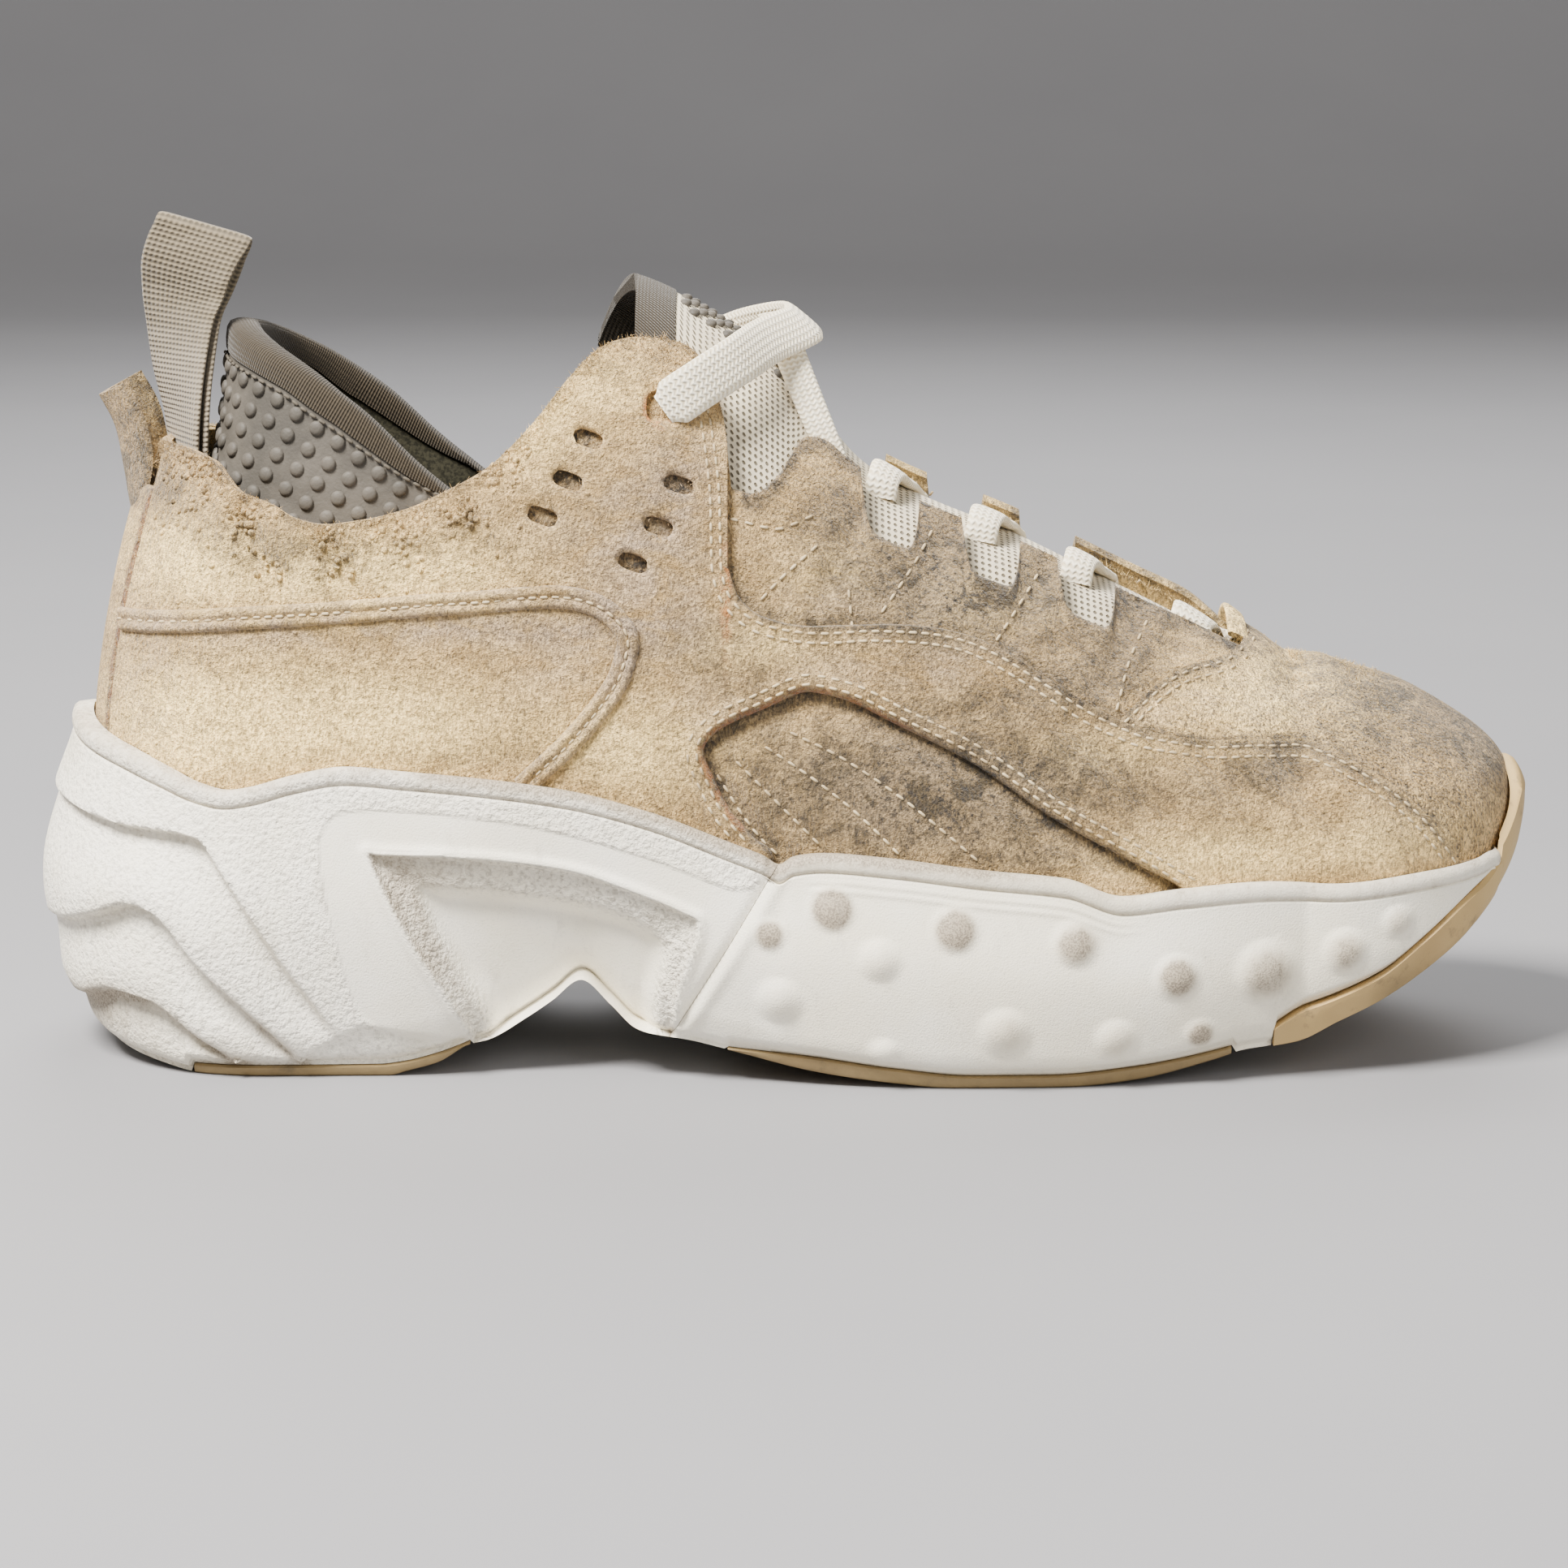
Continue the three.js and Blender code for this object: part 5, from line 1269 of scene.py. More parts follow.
# Toe panel
# A thin suede cap covers the toe from side to side; it laps over the eyestay at the back and goes
# under the quarters at the sides. It is the dirtiest panel, rubbed grey with a rough nap.
VAMP_EDGE = ((67, 72), (73, 77), (78, 80), (83, 81.5), (88, 82), (93, 83), (96, 86), (98, 110))
VAMP_LOW, VAMP_HIGH = 0.05, 1.4
arm = np.unique(np.concatenate([
    np.linspace(67.3, 98, 42), np.linspace(98, FAN, 10), np.linspace(FAN, TIP, 64),
]))
along, side = round_trip(arm, closed=False)
foot = Foot(along[:, None], side[:, None])
vamp_low = np.full(foot.along.shape, 50.0)
for _ in range(6):
    edge_x = np.where(foot.along < FAN, foot.along, foot.wall(foot.t_at(vamp_low), 1.0)[..., 0])
    vamp_low = np.where(edge_x < 136.9, smooth(QUARTER_EDGE, edge_x) - 1.5, smooth(RIM, foot.along) - TUCK)
low_t = foot.t_at(vamp_low)
vamp_top = smooth(VAMP_EDGE, np.where(foot.along < 98, foot.along, 98.0))
top_t = np.where(foot.along >= 97.5, 1.0, foot.t_at(np.minimum(vamp_top, 200)))
top_t = np.maximum(top_t, low_t + 0.004)
VAMP_LEVELS = np.linspace(0, 1, 56)
vamp_t = low_t + (top_t - low_t) * VAMP_LEVELS[None, :]
faces = grid_faces(*vamp_t.shape)
station, side = (values.reshape(-1) for values in np.broadcast_arrays(foot.along, foot.side, vamp_t)[:2])
vamp_t, foot = vamp_t.reshape(-1), Foot(station, side)
flat = foot.wall(vamp_t, 0.0)
lift = VAMP_HIGH + np.where(vamp_t < 0.97, crease_relief(flat[:, 0], flat[:, 2]), 0.0)
lift = lift + toe_bulge(station, flat[:, 2])
points, polygons, _, _ = shell(lambda offset: foot.wall(vamp_t, offset), faces, VAMP_LOW, lift)
# Painted shade along the quarter's edge and along the panel's rear edge, where one layer steps over another.
edge = 0.8 * bell(line_distance(QUARTER_EDGE, points[:, 0], points[:, 2]), 1.5)
edge += 0.6 * bell(line_distance(VAMP_EDGE, points[:, 0], points[:, 2]), 0.8)
masks = soil_masks(points, edge)
suede_toe = suede_material("suede_toe", 1.6)
add_piece("vamp_panel_cap", points, polygons, suede_toe, ["vamp_panel"], masks)

# Heel strip and tab
# A strip of suede covers the back seam from the foam's rim to the collar. A thicker leather tab is
# caught under its top, stands up behind the heel and curls away from it at the end.
STRIP_LOW, STRIP_HIGH = 0.05, 2.0
strip_y, strip_z = np.meshgrid(np.linspace(-1, 1, 45), np.linspace(63, 117, 60), indexing="ij")
strip_side = np.where(strip_y < 0, LATERAL, MEDIAL)
strip_at = strip_along(strip_z, np.abs(strip_y) * STRIP_HALF)
foot = Foot(strip_at.reshape(-1), strip_side.reshape(-1))
strip_t = foot.t_at(strip_z.reshape(-1), high=0.995)
faces = grid_faces(*strip_z.shape)
points, polygons, _, _ = shell(
    lambda offset: foot.wall(strip_t, offset), faces, STRIP_LOW, STRIP_HIGH)
strip_edge = ease(np.abs(points[:, 1]), 15.0, 16.4)
masks = soil_masks(points, 0.1 + 0.9 * strip_edge)
masks["glue"] = 0.3 * strip_edge
add_piece("heel_strip_panel", points, polygons, suede_quarter, ["heel_strip"], masks)

TAB_LINE = ((-130.5, 106), (-133.2, 111), (-134.8, 120), (-136.4, 128.5), (-139.6, 135))
TAB_HALF, TAB_THICK = 12, 2.4
tab_points, tab_tangent = resample(TAB_LINE, 1.0)
tab_normal = np.stack([-tab_tangent[:, 1], tab_tangent[:, 0]], axis=1)
across = np.linspace(-1, 1, 25)
rise = np.linspace(0, 1, len(tab_points))[:, None]
tab_width = TAB_HALF * (1 - 0.10 * ease(rise, 0.8, 1.0) - 0.18 * (1 - ease(rise, 0.0, 0.35)))
bow = -(across[None, :] ** 2) * (2.2 + 4.2 * ease(rise, 0.1, 0.6))
loop_parts = []
for lift in (0.5, -0.5):
    reach = lift * TAB_THICK * (1 - 0.5 * np.abs(across[None, :]) ** 8) + bow
    place_x = tab_points[:, :1] + tab_normal[:, :1] * reach
    place_z = tab_points[:, 1:] + tab_normal[:, 1:] * reach
    place_y = across[None, :] * tab_width
    row = np.stack(np.broadcast_arrays(place_x, place_y, place_z), axis=-1)
    loop_parts.append(row if lift > 0 else row[:, ::-1])
loops = np.concatenate(loop_parts, axis=1)
# Painted shade: the whole tab is darkened as it stands in shade, and its side edges more.
masks = soil_masks(loops, 0.55 + 0.3 * ease(np.abs(loops[..., 1]), 10, 12))
add_loft("heel_tab", loops, suede_quarter, "heel_strip", masks)

# Ankle cuff
# A soft grey cuff stands inside the collar and leans forward over the heel. Its face is a dull
# rubbery knit with rows of round studs; a ribbed tape folds over its rim and is sewn below it.
CUFF_COLUMNS = "x y rim neck_in".split()
CUFF_ROWS = (
    (-113.2, 0, 150.5, 10.5),
    (-110.4, 10, 149, 9),
    (-105, 18, 146.5, 5.5),
    (-95, 24, 141.5, 3),
    (-84, 27.5, 134, 2),
    (-73, 29.5, 123.5, 1),
    (-62.5, 30, 114.5, 0.5),
)
CUFF_BACK, CUFF_FRONT, CUFF_FOOT = -TIP, -61, 82
CUFF_INSET, CUFF_THICK = WALL + 0.8, 5
BINDING_FROM = 0.84
STUD_PITCH, STUD_ROW, STUD_RADIUS, STUD_HEIGHT = 5.2, 4.6, 1.6, 0.7


def unit(vectors):
    """Directions of length one."""
    return vectors / np.maximum(np.linalg.norm(vectors, axis=-1, keepdims=True), 1e-9)


class Cuff:
    """Stations round the cuff: where its neck and rim are, and which way is inward."""

    def __init__(self, share, side):
        along = CUFF_BACK + (CUFF_FRONT - CUFF_BACK) * share
        self.foot = Foot(along, side)
        value = {name: column(CUFF_COLUMNS, CUFF_ROWS, name, share * 6) for name in CUFF_COLUMNS}
        self.collar = np.minimum(smooth(COLLAR, along), value["rim"])
        self.top = np.stack([value["x"], side * value["y"], value["rim"]], axis=-1)
        self.neck = self.within(self.collar - 6, value["neck_in"])
        self.inward = np.stack([-self.foot.dx, -self.foot.dy, np.zeros(len(share))], axis=-1)

    def within(self, z, inset):
        """Points inside the upper at a height, further in by an inset."""
        return self.foot.wall(self.foot.t_at(z, high=0.98), -CUFF_INSET - inset)

    def rise(self, share):
        """Points between the neck and the rim."""
        return self.neck + (self.top - self.neck) * share


def spline_rows(controls, steps):
    """Points on a spline through each row of control points, (stations, controls, 3)."""
    first = 2 * controls[:, :1] - controls[:, 1:2]
    last = 2 * controls[:, -1:] - controls[:, -2:-1]
    ends = np.concatenate([first, controls, last], axis=1)
    made = []
    for k in range(controls.shape[1] - 1):
        four = [ends[:, k + j] for j in range(4)]
        made += [spline(*four, share) for share in np.arange(steps) / steps]
    return np.stack(made + [controls[:, -1]], axis=1)


cuff = Cuff(*round_trip(np.linspace(1, 0, 64), closed=False))
controls = np.stack([
    cuff.within(CUFF_FOOT, 0), cuff.within((CUFF_FOOT + cuff.collar) / 2, 0),
    cuff.within(cuff.collar - 14, 0), cuff.neck, cuff.rise(0.45), cuff.rise(BINDING_FROM),
], axis=1)
outer = spline_rows(controls, 6)
swell = np.sin(np.linspace(0, math.pi, outer.shape[1]))[None, :, None] * 0.8
outer = outer - cuff.inward[:, None, :] * swell * 0.5
inner = outer + cuff.inward[:, None, :] * (CUFF_THICK + swell)
loops = np.concatenate([outer, inner[:, ::-1]], axis=1)
cuff_inside = np.concatenate([np.zeros(outer.shape[:2]), np.ones(inner.shape[:2])], axis=1)

cuff_knit, wire, shader = new_material("cuff_knit", Specular_IOR_Level=0.3)
dust = wire.noise(60.0, 4.0, 0.6)
pore = wire.noise(1400.0, 2.0)
tone = dust.ramp(0.35, 0.7).mix(rgb(68, 65, 60), rgb(90, 85, 78))
lining = wire.mask("inside")
tone = lining.mix(tone, pore.ramp(0.35, 0.65).mix(rgb(36, 35, 27), rgb(60, 58, 46)))
dress(wire, shader, tone, 0.62 + 0.3 * lining, pore + 0.5 * dust, 0.0002, 0.5)
masks = {"inside": cuff_inside}
cuff_piece = add_loft("collar_cuff_pad", loops, cuff_knit, "collar_cuff", masks)


def domes(centres, normals, radius, height):
    """Round closed studs, joined in one mesh."""
    ring = np.linspace(0, 2 * math.pi, 12, endpoint=False)
    rows = ((1.0, -0.4), (0.97, 0.25), (0.8, 0.62), (0.5, 0.88))
    flat = [(r * math.cos(a), r * math.sin(a), h) for r, h in rows for a in ring]
    flat = np.array(flat + [(0, 0, 1.0), (0, 0, -0.4)])
    faces = grid_faces(len(rows), 12, wrap_size=True).tolist()
    top, base = len(flat) - 2, len(flat) - 1
    faces += [[36 + k, 36 + (k + 1) % 12, top] for k in range(12)]
    faces += [[(k + 1) % 12, k, base] for k in range(12)]
    normals = unit(normals)
    side = unit(np.cross(normals, np.array([0.31, 0.2, 0.93])))
    other = np.cross(normals, side)
    round_part = flat[None, :, :1] * side[:, None] + flat[None, :, 1:2] * other[:, None]
    points = centres[:, None] + radius * round_part + height * flat[None, :, 2:] * normals[:, None]
    polygons = [[v + k * len(flat) for v in face] for k in range(len(centres)) for face in faces]
    return points.reshape(-1, 3), polygons


def along_line(at, length, values):
    """Points, or other rows of three, at given lengths along a line."""
    return np.stack([np.interp(at, length, values[:, k]) for k in range(3)], axis=-1)


stud_places, stud_normals = [], []
lean = np.linalg.norm(cuff.top - cuff.neck, axis=1)
for row in range(9):
    depth = 3.4 + row * STUD_ROW
    share = BINDING_FROM - depth / np.maximum(lean, 1e-6)
    line = cuff.rise(np.clip(share, -0.2, 1)[:, None])
    length = path_length(line)
    for at in np.arange(2.0 + (row % 2) * STUD_PITCH / 2, length[-1] - 2.0, STUD_PITCH):
        spot = along_line(at, length, line)
        k = int(np.clip(np.searchsorted(length, at), 1, len(length) - 2))
        if np.interp(at, length, share) < -0.02:
            continue
        up = unit(cuff.top[k] - cuff.neck[k])
        along_rim = unit(line[k + 1] - line[k - 1])
        normal = np.cross(along_rim, up)
        normal = normal if normal @ cuff.inward[k] < 0 else -normal
        stud_places.append(spot - 0.35 * cuff.inward[k])
        stud_normals.append(normal)
points, polygons = domes(np.array(stud_places), np.array(stud_normals), STUD_RADIUS, STUD_HEIGHT)
masks = {"inside": 0.0}
add_piece("cuff_studs", points, polygons, cuff_knit, ["collar_cuff"], masks, sharp=70)

# Profile of the tape over the rim: share of its height, depth inward
TAPE_PROFILE = (
    (0.0, -0.5), (0.35, -0.75), (0.75, -0.7), (0.97, -0.1), (1.06, 1.2), (1.08, 2.6), (1.06, 4.0),
    (0.97, 5.3), (0.75, 5.9), (0.35, 5.95), (0.0, 5.7),
)
tape_loops = np.stack([
    cuff.rise(BINDING_FROM - 0.02 + (1 - BINDING_FROM) * up) + cuff.inward * depth
    for up, depth in TAPE_PROFILE
], axis=1)


def ribbed_material(name, first, second):
    """Narrow woven tape: fine ribs across it, from the length and width kept with each point."""
    material, wire, shader = new_material(name, Specular_IOR_Level=0.15, Sheen_Weight=0.15)
    length, width = wire.mask("length"), wire.mask("width")
    rib = wire.maths("SINE", length * 10.0) * 0.5 + 0.5
    thread = wire.maths("SINE", width * 9.0) * 0.5 + 0.5
    fuzz = wire.noise(700.0, 3.0)
    tone = (0.6 * rib + 0.4 * fuzz).mix(first, second)
    dress(wire, shader, tone, 0.82 + 0.12 * fuzz, rib + 0.4 * thread + 0.5 * fuzz, 0.0003, 0.8)
    return material


ribbed_tape = ribbed_material("ribbed_tape", rgb(34, 30, 24), rgb(74, 66, 54))
masks = {"length": path_length(cuff.top)[:, None], "width": np.linspace(0, 14, len(TAPE_PROFILE))}
add_loft("cuff_binding_tape", tape_loops, ribbed_tape, "cuff_binding", masks)

# Tongue
# A padded tongue of white open mesh follows the ridge of the foot under the laces. Its top is bound
# with the same ribbed tape as the cuff, and a grey studded strip runs down its middle there.
TONGUE_HALF = ((-30, 26), (-16, 33), (0, 34), (10, 30), (60, 26), (90, 20))
TONGUE_TOP, TONGUE_FRONT, TONGUE_TAPE = -30, 90, 8
TONGUE_OFF, TONGUE_THICK = -WALL - 1.3, 3
TONGUE_LEAN = {LATERAL: 0, MEDIAL: 9}
TONGUE_SINK = 3.2


def tongue_loops(xs, lift, levels):
    """Closed sections of the tongue, from one edge over the ridge to the other and back below."""
    outer, inner = [], []
    for side in (LATERAL, MEDIAL):
        foot = Foot(xs[:, None], side)
        start = foot.t_at(smooth(TONGUE_HALF, foot.along), height=False, low=0.4)
        share = np.linspace(0, 1, levels)[None, :]
        t = start + (1 - start) * share
        lean = TONGUE_LEAN[side] * (1 - share) ** 1.2 * (1 - ease(foot.along, -30, 0))
        sink = TONGUE_SINK * ease(foot.along, 2, 16) * ease(share, 0.2, 0.8)
        foot = Foot(foot.along - lean, side)
        pair = [foot.wall(t, TONGUE_OFF + lift - sink), foot.wall(t, TONGUE_OFF - TONGUE_THICK - sink)]
        if side == MEDIAL:
            pair = [points[:, ::-1][:, 1:] for points in pair]
        outer.append(pair[0])
        inner.append(pair[1])
    return np.concatenate(outer + [points[:, ::-1] for points in inner[::-1]], axis=1)


mesh_cloth, wire, shader = new_material("tongue_mesh", Specular_IOR_Level=0.2, Sheen_Weight=0.2)
length, width = wire.mask("length"), wire.mask("width")
fuzz = wire.noise(300.0, 3.0)
one, other = wire.maths("SINE", length * 2.1 + width * 2.1), wire.maths("SINE", length * 2.1 - width * 2.1)
# Painted shade: the holes of the mesh are dark, and the pale thread is toned down for the shade it lies in
# between the tabs.
hole = (one * other).ramp(-0.75, -0.15)
tone = hole.mix(rgb(102, 94, 78), rgb(218, 206, 180))
tone = (fuzz.ramp(0.45, 0.75) * 0.35).mix(tone, rgb(178, 168, 150))
dress(wire, shader, tone, 0.8 + 0.15 * fuzz, hole, 0.0005, 0.9)
loops = tongue_loops(np.linspace(TONGUE_TOP + TONGUE_TAPE, TONGUE_FRONT, 70), 0.0, 16)
steps = np.linalg.norm(np.diff(loops, axis=1), axis=2)
masks = {
    "length": path_length(loops[:, 15])[:, None],
    "width": np.concatenate([np.zeros((len(loops), 1)), np.cumsum(steps, axis=1)], axis=1),
}
tongue = add_loft("tongue_pad", loops, mesh_cloth, "tongue", masks)

tape_x = TONGUE_TOP + TONGUE_TAPE * np.array([0.0, 0.06, 0.2, 0.5, 0.8, 0.97, 1.0])
loops = tongue_loops(tape_x, 0.5, 16)
masks = {"length": np.linspace(0, 110, loops.shape[1]), "width": tape_x[:, None]}
add_loft("tongue_binding_tape", loops, ribbed_tape, "tongue_binding", masks)


def across_ridge(along, y):
    """Sections, and the places on their walls this far to either side of the ridge."""
    foot = Foot(along, np.where(y < 0, LATERAL, MEDIAL))
    return foot, foot.t_at(np.abs(y) + 0.01, height=False, low=0.4)


stud_x, stud_share = np.meshgrid(np.arange(-20, 6, 3.4), np.arange(-3, 4))
stud_x = stud_x + 1.7 * (np.abs(stud_share) % 2)
foot, t = across_ridge(stud_x.ravel(), stud_share.ravel() * 2.9)
spots = foot.wall(t, TONGUE_OFF + 0.1)
points, polygons = domes(spots, foot.wall(t, TONGUE_OFF + 1.1) - spots, 1.25, 0.8)
add_piece("tongue_studs", points, polygons, cuff_knit, ["tongue"], {"inside": 0.0}, sharp=70)

# Pull loop
# Off-white woven webbing, folded over at its top, stands up behind the heel; both layers lie together,
# twist by most of a quarter turn on the way up and are greyer low down.
LOOP_COLUMNS = "x z turn lean".split()
LOOP_ROWS = (
    (-122.6, 121, 68, 0),
    (-122.8, 129, 64, 0),
    (-123.4, 140, 52, 0),
    (-123.2, 150, 40, -1),
    (-122, 158, 22, -4),
    (-118.5, 168.6, 4, -5.6),
)
WEB_WIDTH, WEB_THICK, WEB_LAYER = 20, 1.5, 1.0


def band(centres, across, normals, width, thick, round_power=4.0, points=18):
    """A flat woven band along a path, as closed loops with its length and width at each point."""
    turn = np.linspace(0, 2 * math.pi, points, endpoint=False)
    a = np.sign(np.cos(turn)) * np.abs(np.cos(turn)) ** (2 / round_power)
    b = np.sign(np.sin(turn)) * np.abs(np.sin(turn)) ** (2 / 2.4)
    width = np.broadcast_to(width, (len(centres),))[:, None, None]
    thick = np.broadcast_to(thick, (len(centres),))[:, None, None]
    loops = centres[:, None] + across[:, None] * (a[None, :, None] * width / 2)
    loops = loops + normals[:, None] * (b[None, :, None] * thick / 2)
    return loops, {"length": path_length(centres)[:, None], "width": a * width[:, :, 0] / 2}


rows = np.linspace(0, 5, 60)
value = {name: column(LOOP_COLUMNS, LOOP_ROWS, name, rows) for name in LOOP_COLUMNS}
turn = np.radians(value["turn"])
across = unit(np.stack([np.cos(turn), -np.sin(turn), value["lean"] / WEB_WIDTH], axis=-1))
centre = np.stack([value["x"], np.zeros(60), value["z"] - 0.9 * ease(rows, 4.6, 5.0)], axis=-1)
face = unit(np.cross(across, np.gradient(centre, axis=0)))
spread = WEB_LAYER + 1.2 * bell(rows - 4.4, 0.5)
sag = np.stack([np.zeros(60), np.zeros(60), 0.5 * np.sin(rows * 2.2)], axis=-1)
up_side = centre + face * spread[:, None]
down_side = centre - face * spread[:, None] + sag * 0.3
bends = np.linspace(0, math.pi, 9)[1:-1]
tip = unit(centre[-1] - centre[-2])
fold = np.stack([centre[-1] + face[-1] * spread[-1] * math.cos(a) + tip * 1.1 * math.sin(a) for a in bends])
path = np.concatenate([up_side, fold, down_side[::-1]])
path_across = np.concatenate([across, np.repeat(across[-1:], len(bends), axis=0), across[::-1]])
path_face = unit(np.cross(path_across, np.gradient(path, axis=0)))
loops, masks = band(path, path_across, path_face, WEB_WIDTH, WEB_THICK, 10.0, 26)
height = loops[..., 2]
masks["grime_and_shade"] = 1.1 * (1 - ease(height, 124, 156)) + 0.55


def woven_material(name, pale, shadow, rib, thread, swing):
    """Woven band: ribs across its length crossed by threads, with grime and painted shade where the mask
    says.
    """
    material, wire, shader = new_material(name, Specular_IOR_Level=0.2, Sheen_Weight=0.2)
    length, width, grime_and_shade = wire.mask("length"), wire.mask("width"), wire.mask("grime_and_shade")
    fuzz = wire.noise(900.0, 3.0)
    soil = wire.noise(110.0, 4.0, 0.65, stretch=(1.0, 1.0, 4.0))
    threads = wire.maths("SINE", width * thread)
    weft = wire.maths("SINE", length * rib + threads * swing + 2.5 * soil) * 0.5 + 0.5
    warp = threads * 0.5 + 0.5
    weave = 0.65 * weft + 0.35 * warp
    tone = (0.75 * weave + 0.25 * fuzz).ramp(0.15, 0.75).mix(shadow, pale)
    tone = ((grime_and_shade * (0.3 + soil)).ramp(0.2, 0.95) * 0.8).mix(tone, rgb(138, 128, 112))
    dress(wire, shader, tone, 0.8 + 0.15 * fuzz, weave + 0.3 * fuzz, 0.0004, 0.8)
    return material


webbing = woven_material("loop_webbing", rgb(116, 105, 85), rgb(52, 46, 36), 6.0, 5.2, 0.35)
add_loft("pull_loop_webbing", loops, webbing, "pull_loop", masks)

# Laces
# One flat white woven lace crosses the throat in bars. The top bar comes out of the lateral lace
# hole and stands off the tongue in a fold; the lower bars puff up in the gaps between the tabs.
TOP_BAR_COLUMNS = "x y z tilt".split()
TOP_BAR = (
    (-24, -31.6, 134.8, 80),
    (-19, -31.4, 138.3, 74),
    (-10, -26, 143.6, 62),
    (-3, -14, 147, 50),
    (4, -2, 149, 40),
    (4, 8, 149, 40),
    (-3, 18, 147, 50),
    (-12, 27, 143, 66),
    (-21, 30.7, 136, 80),
)
LACE_WIDTH, LACE_THICK = 10, 2.2
# Lower bars: place along the throat, reach to each side, height of the puff, width
LACE_BARS = (
    ("lace_bar_1", 21.5, 17, 20, 3.0, 7.6), ("lace_bar_2", 42, 17, 20, 3.0, 7.6),
    ("lace_bar_3", 61.5, 17, 20, 3.0, 7.6), ("lace_bar_4", 85, 15.5, 14, 3.2, 10.5),
)
LACE_SLANT = -4
lace_weave = woven_material("lace_weave", rgb(255, 246, 222), rgb(214, 199, 168), 5.6, 4.4, 1.1)


def square_to(across, tangent):
    """The part of a direction that lies square to a path."""
    return unit(across - tangent * np.sum(across * tangent, axis=1, keepdims=True))


rows = np.linspace(0, 8, 90)
value = {name: column(TOP_BAR_COLUMNS, TOP_BAR, name, rows) for name in TOP_BAR_COLUMNS}
centres = np.stack([value[name] for name in ("x", "y", "z")], axis=-1)
tilt = np.radians(value["tilt"])
across = np.stack([np.cos(tilt), np.zeros(90), -np.sin(tilt)], axis=-1)
tangent = unit(np.gradient(centres, axis=0))
across = square_to(across, tangent)
normal = np.cross(tangent, across)
pinch = 1 - 0.35 * (1 - ease(rows, 0.0, 0.5)) - 0.55 * ease(rows, 7.1, 8.0)
loops, masks = band(centres, across, normal, LACE_WIDTH * pinch, LACE_THICK + 0.6 * (1 - pinch), 3.6, 20)
masks["grime_and_shade"] = 0.35 * (1 - ease(rows, 0, 1.0))[:, None]
add_loft("lace_bar_top_band", loops, lace_weave, "lace_bar_top", masks)

for name, bar_x, outer_reach, inner_reach, lift, wide in LACE_BARS:
    share = np.linspace(-1, 1, 44)
    reach = share * np.where(share < 0, outer_reach, inner_reach)
    foot, t = across_ridge(bar_x - LACE_SLANT * (share + 0.5), reach)
    start = foot.t_at(smooth(TONGUE_HALF, foot.along), height=False, low=0.4)
    sink = TONGUE_SINK * ease((t - start) / (1 - start), 0.2, 0.8)
    puff = lift * bell(share + 0.6, 0.35)
    dive = 2.4 * np.maximum(0, np.abs(share) - 0.85) / 0.15
    centres = foot.wall(t, TONGUE_OFF - sink + 1.2 + puff - dive)
    tangent = unit(np.gradient(centres, axis=0))
    slope = (Foot(bar_x + 4.0, LATERAL).z[3] - Foot(bar_x - 4.0, LATERAL).z[3]) / 8
    across = np.tile(unit(np.array([1.0, 0.0, float(slope)])), (len(share), 1))
    across = square_to(across, tangent)
    normal = np.cross(tangent, across)
    width = wide * (1 + 0.12 * np.cos(share * math.pi))
    loops, masks = band(centres, across, normal, width, LACE_THICK, 3.0, 18)
    masks["grime_and_shade"] = 0.5 * ease(np.abs(share), 0.7, 1.0)[:, None]
    add_loft(name + "_band", loops, lace_weave, name, masks)

# The free run of lace from the top bar down the tongue to the first tab
run = np.linspace(0, 1, 40)
foot = Foot(-2 + 13 * run, LATERAL)
t = foot.t_at(3 + 18 * run, height=False, low=0.4)
lift = -1.4 + 8 * (1 - run) ** 2
centres = foot.wall(t, lift)
normal = unit(foot.wall(t, lift + 1.0) - centres)
tangent = unit(np.gradient(centres, axis=0))
across = unit(np.cross(tangent, normal))
normal = np.cross(across, tangent)
loops, masks = band(centres, across, normal, LACE_WIDTH * (0.75 - 0.2 * run), 1.6, 3.2, 18)
masks["grime_and_shade"] = 0.3 + 0.4 * run[:, None]
add_loft("lace_run", loops, lace_weave, "lace_bar_top", masks)

# A small suede keeper stands up at the front end of the throat
KEEPER_X, KEEPER_HALF = 93.5, 11
share = np.linspace(-1, 1, 30)
foot, t = across_ridge(KEEPER_X, share * KEEPER_HALF)
centres = foot.wall(t, 0.4 + 1.8 * (1 - share ** 2))
tangent = unit(np.gradient(centres, axis=0))
across = square_to(np.array([[1.0, 0.0, -0.75]]), tangent)
loops, _ = band(centres, across, np.cross(tangent, across), 5.0, 1.5, 3.4, 18)
masks = {"warm": 1.0, "grime_and_shade": 0.35}
add_loft("throat_keeper", loops, suede_toe, "vamp_panel", masks)

# Stitching
# Two rows of pale thread hold the quarters, the window edge and the toe panel; single rows hold the
# piping and quilt the window and the tabs. Each stitch is a short bead of thread bedded in the suede.
WING_SEAM = (
    (-17, 141), (-13.6, 133), (-11.6, 120), (-11.2, 110), (-10.9, 103), (-9, 98), (-4, 94), (6, 92), (18, 92),
    (30, 91), (38, 89), (46, 85), (54, 80), (62, 75), (68, 72), (73, 70), (83, 68), (94, 67), (106, 66),
    (117, 61), (126, 55), (132, 49), (136, 43.5),
)
WINDOW_SEAM = WINDOW_SHAPE[:-2]
VAMP_SEAM = ((68, 73), (73, 77), (78, 80), (83, 81.5), (88, 82), (92.5, 83), (95, 85))
